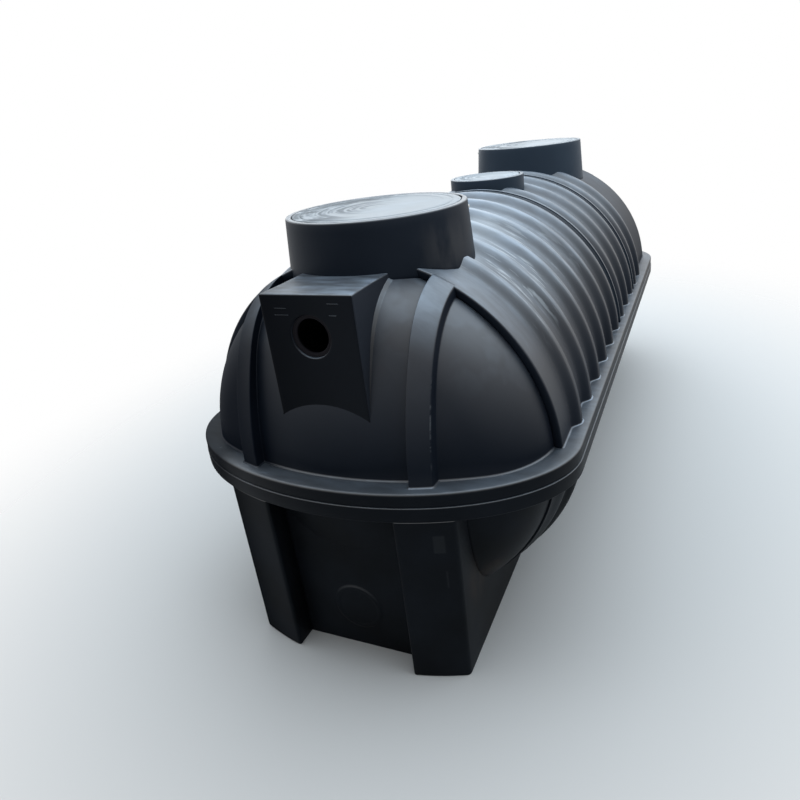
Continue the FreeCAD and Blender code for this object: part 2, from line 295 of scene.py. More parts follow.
@dataclass(frozen=True)
class MouldedPlastic:
    """Black polyethylene from a mould: satin, a little wavy, dusty where rain and dirt settle, with painted
    sheen and highlights on faces that look up, and where asked painted shade on the left front side and at
    the rear.
    """

    name: str
    deep: tuple = (0.0036, 0.0046, 0.0070)
    worn: tuple = (0.009, 0.011, 0.015)
    # Colour of the pale film: dust, and a painted sheen of the sky on faces that look up.
    dust_and_sheen: tuple = (0.38, 0.45, 0.54)
    dust_and_sheen_amount: float = 0.25
    # Extra pale film on the rib crests: dust and a painted highlight.
    crest_dust_and_highlight: float = 0.0
    brushing: float = 0.6
    # Painted shade: the left front side and the rear are made darker and matt.
    painted_shade_fade: tuple = (-0.50, -0.30)
    painted_shade_side: float = 0.0
    painted_shade_rear: float = 0.0
    # Extra pale film on the straps: dust and painted sheen.
    strap_dust_and_sheen: float = 0.0
    blotches: float = 0.0
    rubs: tuple = ()
    rub_edge: float = 0.008
    index: float = 1.19
    # Painted light: a lighter colour on faces that look to the right.
    painted_light_flank: tuple | None = None
    smear: tuple | None = None
    # Pale colour of scrapes and rubs, and of the painted highlights.
    scrape_and_highlight: tuple = (0.72, 0.75, 0.78)
    mud: tuple = (0.075, 0.073, 0.077)
    scuffs: float = 0.5
    scrape_and_highlight_share: float = 0.75
    mud_share: float = 0.7
    rub_share: float = 0.018
    # Strength of the painted highlight along the right strap's edge.
    strap_highlight_share: float = 0.12
    roughness: float = 0.46
    grain: float = 0.0004
    waviness: float = 0.004
    sheen: tuple = (0.72, 0.86, 1.0, 1.0)
    coat_roughness: float = 0.44
    coat_index: float = 1.75
    axis_height: float = 0.705

    def crest(self, tree: ShaderTree) -> Wire:
        """Mask the ribs' tops by their distance from the tank's axis."""
        flat = tree.add("ShaderNodeVectorMath", {"operation": "MULTIPLY_ADD"}, {
            0: tree.point, 1: (1.0, 0.0, 1.0), 2: (0.0, 0.0, -self.axis_height)})
        return tree.length(flat).band(0.694, 0.713)

    def scrapes_and_highlight(self, tree: ShaderTree) -> Wire:
        """Lay pale scrapes round the first ribs beside the inlet neck, where the tank was handled, over a
        broad pale wash that is a painted highlight, strongest nearest the middle of the top.

        Args:
            tree: The material's tree.

        Returns:
            The mask of the scrapes and the painted highlight.
        """
        region = tree.x.window((0.10, 0.24), (0.50, 0.64)) * tree.z.band(0.92, 1.05)
        region = region * tree.y.window((-1.24, -1.15), (-0.80, -0.20))
        # The broad wash is a painted highlight, strongest near the middle of the top and fading to the
        # right.
        highlight_wash = 0.08 + 0.44 * (1.0 - tree.x.band(0.22, 0.40))
        fine = tree.noise(26.0, 5.0, (0.30, 2.4, 0.30)).band(0.50, 0.64)
        broad = tree.noise(5.0, 2.0, (0.6, 2.2, 0.6)).band(0.40, 0.58)
        return region * (highlight_wash + (1.0 - highlight_wash) * fine * broad)

    def stain(self, tree: ShaderTree) -> Wire:
        """Leave a patch of dried mud round one place.

        Args:
            tree: The material's tree.

        Returns:
            The patch's mask.
        """
        arm = tree.add("ShaderNodeVectorMath", {"operation": "SUBTRACT"}, {0: tree.point, 1: self.smear})
        run = tree.noise(14.0, 4.0, (1.0, 1.0, 0.4)).band(0.35, 0.65)
        return (1.0 - tree.length(arm).band(0.02, 0.15)) * run

    def painted_strap_highlight(self, tree: ShaderTree) -> Wire:
        """Mask a painted highlight: a broken pale line along the outer edge of the right strap, where it
        catches the light.
        """
        run = tree.x.window((0.3545, 0.3555), (0.3575, 0.3585)) * tree.z.window((0.80, 0.86), (1.02, 1.12))
        return run * tree.noise(45.0, 3.0, (0.2, 0.2, 1.0)).band(0.40, 0.60)

    def rubbed(self, tree: ShaderTree, patch: tuple) -> Wire:
        """Mask one rubbed patch on the front of a leg.

        Args:
            tree: The material's tree.
            patch: Its left and right sides across the tank, and its foot and top.

        Returns:
            The patch's mask.
        """
        mask = 1.0 - tree.y.band(-1.66, -1.64)
        for place, low, high in ((tree.x, *patch[:2]), (tree.z, *patch[2:])):
            mask = mask * place.window((low, low + self.rub_edge), (high - self.rub_edge, high))
        return mask

    def amount(self, tree: ShaderTree) -> Wire | float:
        """Find how much pale film, dust and painted sheen, lies on each place that faces up.

        Args:
            tree: The material's tree.

        Returns:
            The amount.
        """
        amount = self.dust_and_sheen_amount
        if self.crest_dust_and_highlight:
            # Painted highlight on the rib crests over their dust, stronger towards the front; the pale film
            # also thins towards the rear.
            forward = tree.y.band(-0.9, 0.7)
            amount = amount * (1.30 - 0.50 * forward)
            amount = amount + self.crest_dust_and_highlight * (1.45 - 1.15 * forward) * self.crest(tree)
        if self.strap_dust_and_sheen:
            # The straps get extra pale film: dust and painted sheen.
            amount = amount + self.strap_dust_and_sheen * abs(tree.x).window((0.283, 0.288), (0.355, 0.360))
        return amount

    def marked(self, tree: ShaderTree, colour: Wire) -> Wire:
        """Lay scrapes with their painted highlight, dried mud and rubbed patches over a colour.

        Args:
            tree: The material's tree.
            colour: The plastic with its dust and painted sheen.

        Returns:
            The colour with its marks.
        """
        if self.crest_dust_and_highlight:
            colour = tree.blend(self.scrape_and_highlight_share * self.scrapes_and_highlight(tree), colour, self.scrape_and_highlight)
        if self.smear:
            colour = tree.blend(self.mud_share * self.stain(tree), colour, self.mud)
        for patch in self.rubs:
            colour = tree.blend(self.rub_share * self.rubbed(tree, patch), colour, self.scrape_and_highlight)
        return colour

    def build(self) -> Material:
        """Make the material.

        Returns:
            The finished material.
        """
        tree = ShaderTree(self.name)
        normal = tree.add("ShaderNodeNewGeometry", None, None, "Normal")
        upward = tree.part(normal, "Z")
        front = 1.0 - tree.y.band(-1.25, -0.85)
        # Painted shade: less pale film and a matt mix on the left front side and, if asked, at the rear.
        unshaded_share = 1.0 - self.painted_shade_side * front * (1.0 - tree.x.band(*self.painted_shade_fade))
        unshaded_share = unshaded_share * (1.0 - self.painted_shade_rear * tree.y.band(0.88, 1.04))
        cloud, speckle = tree.noise(3.0), tree.noise(260.0, 2.0)
        streak = tree.noise(9.0, 4.0, (1.0, 3.0, 1.0))
        colour = tree.blend(cloud.band(0.3, 0.75), self.deep, self.worn)
        facing = upward.band(0.40, 1.0)
        marks = streak.band(0.62, 0.72) * tree.noise(28.0, 4.0).band(0.52, 0.62) * facing
        marks = marks * (self.scuffs * 0.3)
        if self.strap_dust_and_sheen:
            # Painted highlight along the right strap's edge, at the front.
            colour = tree.blend(self.strap_highlight_share * front * self.painted_strap_highlight(tree), colour, self.scrape_and_highlight)
        # Painted light: faces that look to the right get a lighter colour.
        if self.painted_light_flank:
            colour = tree.blend(tree.part(normal, "X").band(0.45, 0.95), colour, self.painted_light_flank)
        brushed = (1.0 - 0.5 * self.brushing) + self.brushing * streak.band(0.30, 0.70)
        # The pale film on faces that look up is dust and a painted sheen of the sky.
        dust_and_sheen_film = facing * brushed * (0.65 + 0.7 * cloud.band(0.25, 0.75)) * self.amount(tree) * unshaded_share
        if self.blotches:
            patches = tree.noise(9.0, 2.0).band(0.48, 0.62) * upward.band(0.25, 0.8)
            dust_and_sheen_film = dust_and_sheen_film + self.blotches * front * unshaded_share * patches
        colour = self.marked(tree, tree.blend(dust_and_sheen_film + marks, colour, self.dust_and_sheen))
        bump = tree.bump(0.6, speckle * self.grain + tree.noise(5.0, 1.0) * self.waviness)
        rough = self.roughness + 0.12 * (cloud - 0.5) + 0.25 * dust_and_sheen_film + 0.05 * speckle
        shader = tree.add("ShaderNodeBsdfPrincipled", None, {
            "Base Color": colour, "Roughness": rough, "Normal": bump, "IOR": self.index,
            "Specular Tint": self.sheen, "Coat Weight": upward.band(0.05, 0.80),
            "Coat Roughness": self.coat_roughness, "Coat IOR": self.coat_index})
        # Painted shade: a matt shader without reflections is mixed in where the side or rear is shaded.
        if self.painted_shade_side or self.painted_shade_rear:
            matt = tree.add("ShaderNodeBsdfPrincipled", None, {
                "Base Color": colour, "Roughness": 1.0, "Specular IOR Level": 0.0, "Normal": bump})
            shader = tree.add("ShaderNodeMixShader", None, {0: unshaded_share, 1: matt, 2: shader})
        return tree.finish(shader)


@dataclass(frozen=True)
class LidPlastic:
    """Black polyethylene of a flat lid, smoother than the hull, with a pale film that is partly dried dirt
    and partly a painted sheen of the sky.
    """

    name: str
    centre: float
    # How much pale film lies on the lid: dried dirt and painted sheen.
    dirt_and_sheen_amount: float
    deep: tuple = (0.0045, 0.0055, 0.0080)
    # Colour of the pale film: dried dirt and painted sheen.
    dust_and_sheen_film: tuple = (0.50, 0.57, 0.63)
    roughness: float = 0.36

    def build(self) -> Material:
        """Make the material.

        Returns:
            The finished material.
        """
        tree = ShaderTree(self.name)
        flat = tree.add("ShaderNodeVectorMath", {"operation": "MULTIPLY_ADD"}, {
            0: tree.point, 1: (1.0, 1.0, 0.0), 2: (0.0, -self.centre, 0.0)})
        cloud = tree.noise(7.0, 4.0)
        round_trip = tree.add("ShaderNodeCombineXYZ", None, {0: tree.length(flat) * 6.0, 1: cloud * 0.5})
        wiped = tree.noise(7.0, point=round_trip).band(0.40, 0.62) * (1.0 - tree.x.band(-0.12, 0.06))
        # The pale film is dried dirt and a painted sheen of the sky.
        dust_and_sheen_film = (0.35 + 0.9 * cloud) * self.dirt_and_sheen_amount * (1.0 - 0.55 * wiped)
        return tree.finish(tree.add("ShaderNodeBsdfPrincipled", None, {
            "Base Color": tree.blend(dust_and_sheen_film, self.deep, self.dust_and_sheen_film), "IOR": 1.6,
            "Normal": tree.bump(0.5, tree.noise(300.0, 2.0) * 0.0003),
            "Roughness": self.roughness + 0.25 * wiped + 0.1 * cloud}))


@dataclass(frozen=True)
class PipeRubber:
    """Matt black rubber of the pipe seals."""

    name: str
    colour: tuple = (0.010, 0.009, 0.012)
    bloom: tuple = (0.018, 0.017, 0.021)
    roughness: float = 0.6

    def build(self) -> Material:
        """Make the material.

        Returns:
            The finished material.
        """
        tree = ShaderTree(self.name)
        cloud = tree.noise(40.0)
        return tree.finish(tree.add("ShaderNodeBsdfPrincipled", None, {
            "Base Color": tree.blend(cloud.band(0.4, 0.8) * 0.5, self.colour, self.bloom), "IOR": 1.2,
            "Normal": tree.bump(0.4, tree.noise(600.0, 2.0) * 0.0006),
            "Roughness": self.roughness + 0.15 * cloud}))


@dataclass(frozen=True)
class ScrewSteel:
    """Bright zinc-plated steel of the lid screws."""

    name: str
    bright: tuple = (0.62, 0.62, 0.60)
    dull: tuple = (0.34, 0.34, 0.33)

    def build(self) -> Material:
        """Make the material.

        Returns:
            The finished material.
        """
        tree = ShaderTree(self.name)
        cloud = tree.noise(300.0)
        return tree.finish(tree.add("ShaderNodeBsdfPrincipled", None, {
            "Base Color": tree.blend(cloud, self.bright, self.dull), "Metallic": 1.0,
            "Roughness": 0.25 + 0.2 * cloud}))


# Mesh helpers


def smooth_rise(share: np.ndarray | float) -> np.ndarray | float:
    """Ease from 0 to 1, level at both ends.

    Args:
        share: Position between the ends, clipped to 0..1.

    Returns:
        The eased share.
    """
    share = np.clip(share, 0.0, 1.0)
    return share * share * (3.0 - 2.0 * share)


def add_piece(name: str, mesh: Mesh, material: Material) -> Object:
    """Put a mesh in the scene as an object at the origin.

    Args:
        name: Name of the piece.
        mesh: Its mesh, already in place.
        material: Its finish.

    Returns:
        The new object.
    """
    piece = bpy.data.objects.new(name, mesh)
    bpy.context.scene.collection.objects.link(piece)
    mesh.materials.clear()
    mesh.materials.append(material)
    return piece


def sheet_faces(rows: int, columns: int, closed: bool, first: int = 0) -> list[tuple]:
    """List the quads of a grid of points.

    Args:
        rows: Number of rows.
        columns: Number of points in a row.
        closed: Whether each row's last point joins its first.
        first: Index of the grid's first point.

    Returns:
        The faces as tuples of point indices.
    """
    faces = []
    for row in range(rows - 1):
        near, far = first + row * columns, first + (row + 1) * columns
        for column in range(columns if closed else columns - 1):
            after = (column + 1) % columns
            faces.append((near + column, near + after, far + after, far + column))
    return faces


def shade_smooth(mesh: Mesh) -> None:
    """Shade every face of a mesh smooth."""
    mesh.polygons.foreach_set("use_smooth", np.ones(len(mesh.polygons), bool))


def weld(mesh: Mesh, solid: bool = False, more: Mesh | None = None) -> None:
    """Merge a mesh's doubled points and shade it smooth.

    Args:
        mesh: The mesh, which is changed.
        solid: Whether it is a closed solid, whose faces are then turned outwards.
        more: A second mesh to take in first.
    """
    work = bmesh.new()
    work.from_mesh(mesh)
    if more:
        work.from_mesh(more)
    bmesh.ops.remove_doubles(work, verts=work.verts, dist=MERGE_DISTANCE)
    bmesh.ops.dissolve_degenerate(work, edges=work.edges, dist=MERGE_DISTANCE)
    if solid:
        bmesh.ops.recalc_face_normals(work, faces=work.faces)
    work.to_mesh(mesh)
    work.free()
    shade_smooth(mesh)


def grid_mesh(name: str, grids: list[np.ndarray], closed: bool = False, caps: bool = False,
              solid: bool = False) -> Mesh:
    """Make one smooth mesh from grids of points.

    Args:
        name: Name of the mesh.
        grids: Arrays of rows by columns by 3.
        closed: Whether each row closes on itself.
        caps: Whether the first and last row are closed with a face each.
        solid: Whether the mesh is a closed solid.

    Returns:
        The mesh, with coinciding points merged.
    """
    points, faces = [], []
    for grid in grids:
        first = len(points)
        rows, columns = grid.shape[:2]
        points.extend(map(tuple, grid.reshape(-1, 3)))
        faces.extend(sheet_faces(rows, columns, closed, first))
        if caps:
            faces.append(tuple(range(first, first + columns))[::-1])
            faces.append(tuple(range(first + (rows - 1) * columns, first + rows * columns)))
    mesh = bpy.data.meshes.new(name)
    mesh.from_pydata(points, [], faces)
    weld(mesh, solid)
    return mesh


def add_solid(name: str, grids: list[np.ndarray], finish: Material, caps: bool = True) -> Object:
    """Add a piece made of closed solids, each swept through the rings of one grid.

    Args:
        name: Name of the piece.
        grids: Arrays of rings by points by 3.
        finish: Its finish.
        caps: Whether a face closes each end, and not the last ring the first.

    Returns:
        The piece.
    """
    return add_piece(name, grid_mesh(name, grids, closed=True, caps=caps, solid=True), finish)


def add_walled(name: str, mesh: Mesh, centre: tuple[float, float, float],
               finish: Material, depth: float) -> Object:
    """Add a piece made of a sheet with a wall that grows inwards.

    Args:
        name: Name of the piece.
        mesh: The sheet, which is turned round if its faces look inwards.
        centre: A point on the inner side of its faces.
        finish: Its finish.
        depth: Thickness of the wall.

    Returns:
        The piece.
    """
    middle = Vector(centre)
    lean = sum(face.normal.dot(face.center - middle) * face.area for face in mesh.polygons)
    if lean < 0.0:
        mesh.flip_normals()
    piece = add_piece(name, mesh, finish)
    wall = piece.modifiers.new("wall", "SOLIDIFY")
    wall.thickness = depth
    wall.offset = -1.0
    wall.use_even_offset = False
    return piece


def at_end(grid: np.ndarray, end: End) -> np.ndarray:
    """Bring a grid that is made for the front end to an end."""
    return grid * np.array([1.0, -end.value, 1.0])


def lay(ring: np.ndarray, height: float | np.ndarray) -> np.ndarray:
    """Lay a plan's points at a height, or each at its own."""
    return np.column_stack([ring, np.broadcast_to(height, len(ring))])


def stand(ring: np.ndarray, y: float) -> np.ndarray:
    """Stand a ring of places across and heights at one place along the tank."""
    return np.column_stack([ring[:, 0], np.full(len(ring), y), ring[:, 1]])


def lathe(name: str, profile: list[tuple[float, float]], segments: int) -> Mesh:
    """Turn a closed profile about the Z axis.

    Args:
        name: Name of the mesh.
        profile: Radius and height of each point, in order round the section.
        segments: Number of steps round the axis.

    Returns:
        The closed solid, at the origin.
    """
    turn = np.linspace(0.0, FULL_TURN, segments, endpoint=False)
    grid = np.array([[(radius * math.cos(a), radius * math.sin(a), height) for a in turn]
                     for radius, height in profile + profile[:1]])
    return grid_mesh(name, [grid], closed=True, solid=True)


# The tank's form


@dataclass(frozen=True)
class DomeProfile:
    """A dished end drawn with two arcs: a wide crown that runs into a tighter knuckle."""

    radius: float
    depth: float
    knuckle: float

    def point(self, share: float) -> tuple[float, float]:
        """Find a point of the profile by its share of the way from the rim to the middle.

        Args:
            share: 0 at the rim, 1 at the middle of the dome.

        Returns:
            Distance from the rim's plane, and distance from the axis.
        """
        rise = (self.radius - self.knuckle) ** 2 + self.depth ** 2 - self.knuckle ** 2
        crown = rise / (2.0 * (self.depth - self.knuckle))
        joint = math.atan2(crown - self.depth, self.radius - self.knuckle)
        knuckle_length = self.knuckle * joint
        crown_length = crown * (math.pi / 2 - joint)
        along = share * (knuckle_length + crown_length)
        if along <= knuckle_length:
            angle = along / self.knuckle
            return (self.knuckle * math.sin(angle),
                    self.radius - self.knuckle + self.knuckle * math.cos(angle))
        angle = joint + (along - knuckle_length) / crown
        return self.depth - crown + crown * math.sin(angle), crown * math.cos(angle)

    def _last_share(self, test: Callable[[tuple[float, float]], bool]) -> float:
        """Find how far along the profile a test holds.

        Args:
            test: What is asked of a point; it holds at the rim and no longer at the middle.

        Returns:
            The share of the way up to which it holds.
        """
        low, high = 0.0, 1.0
        for _ in range(40):
            middle = (low + high) / 2
            if test(self.point(middle)):
                low = middle
            else:
                high = middle
        return low

    def share_at_radius(self, radius: float) -> float:
        """Share of the way at which the profile is that far from the axis."""
        return self._last_share(lambda point: point[1] > radius)

    def share_at_depth(self, depth: float) -> float:
        """Share of the way at which the profile is that far from the rim's plane."""
        return self._last_share(lambda point: point[0] < depth)

    def inset(self, amount: float) -> "DomeProfile":
        """Make the profile that lies that far inside this one."""
        return DomeProfile(self.radius - amount, self.depth - amount, self.knuckle - amount)


@dataclass(frozen=True)
class HullForm:
    """Sizes of the tank's outer form that several pieces share."""

    axis_height: float = 0.705
    dome_place: float = 1.315
    panel: DomeProfile = DomeProfile(0.666, 0.384, 0.300)
    strap: DomeProfile = DomeProfile(0.6945, 0.430, 0.330)
    barrel_radius: float = 0.692
    barrel_end: float = 1.360
    rib_start: float = -1.1577
    rib_pitch: float = 0.2014
    rib_count: int = 11
    rib_height: float = 0.028
    rib_foot: float = 0.058
    rib_crest: float = 0.010
    flange_top: float = 0.754
    parting_height: float = 0.704
    flange_bottom: float = 0.650
    flange_half_width: float = 0.750
    flange_depth: float = 0.462
    ledge_fillet: float = 0.006
    side_plane: float = 0.430
    wall: float = 0.008
    turn_run: float = 0.100
    lip: float = -0.0006

    def rib_profile(self, offset: np.ndarray | float) -> np.ndarray | float:
        """Height of a rib above the barrel at a distance along Y from its crest line."""
        share = (self.rib_foot - np.abs(offset)) / (self.rib_foot - self.rib_crest)
        return self.rib_height * smooth_rise(share)

    def plain_radius(self, y: float) -> float:
        """Find the hull's radius without its ribs.

        Args:
            y: Place along the tank.

        Returns:
            The radius.
        """
        depth = abs(y) - self.dome_place
        if abs(y) <= self.barrel_end:
            return self.barrel_radius
        if depth >= self.panel.depth:
            return 0.0
        return self.panel.point(self.panel.share_at_depth(depth))[1]

    def lower_radius(self, y: float) -> float:
        """Find the radius of the hull's lower half, which turns in softly at the barrel's ends.

        Args:
            y: Place along the tank.

        Returns:
            The radius without the ribs.
        """
        if abs(y) > self.barrel_end:
            return self.plain_radius(y)
        low = self.plain_radius(self.barrel_end + 1e-6) + self.lip
        rise = float(smooth_rise((self.barrel_end - abs(y)) / self.turn_run))
        return low + (self.barrel_radius - low) * rise

    def to_ledge(self) -> float:
        """Height above the axis at which walls end in the fillet on the flange's ledge."""
        return self.flange_top + self.ledge_fillet - self.axis_height

    def plan_ring(self, inset: float, height: float, steps: int = 56, sides: int = 16) -> np.ndarray:
        """Points round the flange's plan, straight along the sides and half-elliptic at the ends.

        Args:
            inset: Distance inwards from the flange's outer edge.
            height: Height of the ring.
            steps: Number of points round each end.
            sides: Number of points along each side.

        Returns:
            The closed ring of points, anticlockwise from above.
        """
        half, depth = self.flange_half_width - inset, self.flange_depth - inset
        turn = np.linspace(0.0, math.pi, steps)
        rear = np.stack([half * np.cos(turn), self.dome_place + depth * np.sin(turn)], axis=1)
        run = np.linspace(self.dome_place, -self.dome_place, sides)[1:-1]
        left = np.stack([np.full(run.shape, -half), run], axis=1)
        return lay(np.concatenate([rear, left, -rear, -left]), height)


@dataclass
class Part:
    """A sub-part of the tank: the form that it follows and its finish."""

    form: HullForm
    finish: Material


@dataclass
class Barrel(Part):
    """The ribbed middle of the hull, above or below the flange."""

    columns: int = 88
    sink: float = 0.004

    def arc(self, radius: float, y: float, upper: bool) -> list[np.ndarray]:
        """Find points round the hull at one place along it.

        Args:
            radius: Radius there.
            y: Place along the tank.
            upper: Whether the upper half is wanted.

        Returns:
            One row of points, or two for the two sides of the lower half.
        """
        form = self.form
        if upper:
            foot = form.to_ledge()
            low = math.asin(foot / radius)
            angles = np.linspace(low, math.pi - low, self.columns)
            across, up = radius * np.cos(angles), radius * np.sin(angles)
            flare = form.ledge_fillet * np.array(LEDGE_CURVE[::-1])
            across = np.concatenate([across[0] + flare[:, 0], across, across[-1] - flare[::-1, 0]])
            sides = [(across, np.concatenate([foot + flare[:, 1], up, foot + flare[::-1, 1]]))]
        else:
            top = math.asin((form.axis_height - form.flange_bottom - self.sink) / radius)
            bottom = math.acos((form.side_plane - self.sink) / radius)
            right = np.linspace(-top, -bottom, self.columns // 3)
            sides = [(radius * np.cos(turn), radius * np.sin(turn)) for turn in (right, math.pi - right)]
        return [stand(np.column_stack([across, form.axis_height + up]), y) for across, up in sides]

    def band(self, stations: list[tuple[float, float]], upper: bool) -> list[np.ndarray]:
        """Lay rows of points over a list of places, each with its radius: one grid, or two below."""
        rows = [self.arc(radius, y, upper) for y, radius in stations]
        return [np.stack([row[side] for row in rows]) for side in range(len(rows[0]))]

    def rib_stations(self) -> list[tuple[float, float]]:
        """Find places and radii across one bay, from the middle of one valley to the next.

        Returns:
            The stations, with the rib's crest at place 0.
        """
        form = self.form
        half = form.rib_pitch / 2
        slope = np.linspace(form.rib_crest, form.rib_foot, 12)
        offsets = sorted({-half, *(-slope), *np.linspace(-form.rib_crest, form.rib_crest, 4), *slope, half})
        return [(float(y), form.barrel_radius + float(form.rib_profile(y))) for y in offsets]

    def land_stations(self, reach: float, upper: bool) -> list[tuple[float, float]]:
        """Find places and radii of the smooth land between an end of the barrel and its nearest bay.

        Args:
            reach: Distance of that bay's outer side from the middle of the tank.
            upper: Whether the upper half is wanted; the lower one turns in softly to the cheek.

        Returns:
            The stations of the front land.
        """
        end, top = self.form.barrel_end, self.form.barrel_radius
        if upper:
            drops = [(0.006, 0.036), (0.0015, 0.022), (0.0002, 0.008), (0.001, 0.0035), (0.003, 0.0012),
                     (0.007, 0.0002), (0.012, 0.0), (0.04, 0.0)]
        else:
            steps = (0.0, 0.0006, 0.0015, *np.linspace(0.006, self.form.turn_run, 15))
            drops = [(step, top - self.form.lower_radius(end - step)) for step in steps]
        return [(step - end, top - drop) for step, drop in drops] + [(-reach, top)]

    def repeated_bays(self, name: str, upper: bool) -> Mesh:
        """Build one bay and repeat it along the tank with Geometry Nodes.

        Args:
            name: Name of the bay.
            upper: Whether the upper half is wanted.

        Returns:
            The mesh of all bays.
        """
        form = self.form
        tree = RepeatTree("rib_bays", {
            "Count": ("Int", form.rib_count), "Start": ("Vector", (0.0, form.rib_start, 0.0)),
            "Pitch": ("Vector", (0.0, form.rib_pitch, 0.0)), "Finish": ("Material", self.finish)})
        line = tree.add("GeometryNodeMeshLine", {"mode": "OFFSET"}, {
            "Count": tree.given("Count"), "Start Location": tree.given("Start"),
            "Offset": tree.given("Pitch")})
        tree.spread(line)
        bay = grid_mesh(name, self.band(self.rib_stations(), upper))
        return tree.grow(add_piece(name, bay, self.finish))

    def build(self, upper: bool) -> Object:
        """Build the barrel's wall above or below the flange.

        Args:
            upper: Whether the upper half is wanted.

        Returns:
            The piece.
        """
        form = self.form
        name = "upper_barrel" if upper else "lower_barrel"
        mesh = self.repeated_bays(f"{name}_bay", upper)
        first = form.rib_start - form.rib_pitch / 2
        last = first + form.rib_pitch * form.rib_count
        front = self.band(self.land_stations(-first, upper), upper)
        rear = [at_end(grid, End.REAR)[::-1] for grid in self.band(self.land_stations(last, upper), upper)]
        weld(mesh, more=grid_mesh(f"{name}_lands", front + rear))
        return add_walled(name, mesh, (0.0, 0.0, form.axis_height), self.finish, form.wall)


@dataclass
class SeamBands(Part):
    """Narrow raised bands over the barrel, each between two ribs."""

    places: tuple[float, ...] = (-0.050, 0.5542)
    width: float = 0.018
    radius: float = 0.717
    edge: float = 0.003
    foot: float = 0.026
    columns: int = 96

    def build(self, place: float, name: str) -> Object:
        """Build one band.

        Args:
            place: Middle of the band along the tank.
            name: Name of the piece.

        Returns:
            The piece.
        """
        half, edge, top = self.width / 2, self.edge, self.radius
        inner = self.form.barrel_radius - self.form.wall / 2
        painted_light_flank = [(half, inner), (half, top - edge), (half - edge * 0.3, top - edge * 0.3),
                 (half - edge, top)]
        return self.sweep([(-offset, radius) for offset, radius in painted_light_flank] + painted_light_flank[::-1], place, name)

    def build_foot(self, place: float, name: str) -> Object:
        """Build the hollow curve in which one band runs out onto the barrel before it.

        Args:
            place: Middle of the band along the tank.
            name: Name of the piece.

        Returns:
            The piece.
        """
        start, top, low = 0.002 - self.width / 2, self.radius - self.edge, self.form.barrel_radius - 0.001
        curve = [(start - self.foot * share, low + (top - low) * (1.0 - share) ** 2)
                 for share in np.linspace(0.0, 1.0, 8)]
        return self.sweep([(start, low - 0.003), *curve, (start - self.foot, low - 0.003)], place, name)

    def sweep(self, section: list[tuple[float, float]], place: float, name: str) -> Object:
        """Sweep a closed section over the barrel, from the flange on one side to the other.

        Args:
            section: Distance along the tank from the middle of the band, and radius, of each corner.
            place: Middle of the band along the tank.
            name: Name of the piece.

        Returns:
            The piece.
        """
        form = self.form
        rows = []
        for offset, radius in section:
            start = math.asin((form.flange_top - self.edge - form.axis_height) / radius)
            angles = np.linspace(start, math.pi - start, self.columns)
            arc = np.column_stack([radius * np.cos(angles), form.axis_height + radius * np.sin(angles)])
            rows.append(stand(arc, place + offset))
        return add_solid(name, [np.stack(rows, axis=1)], self.finish)


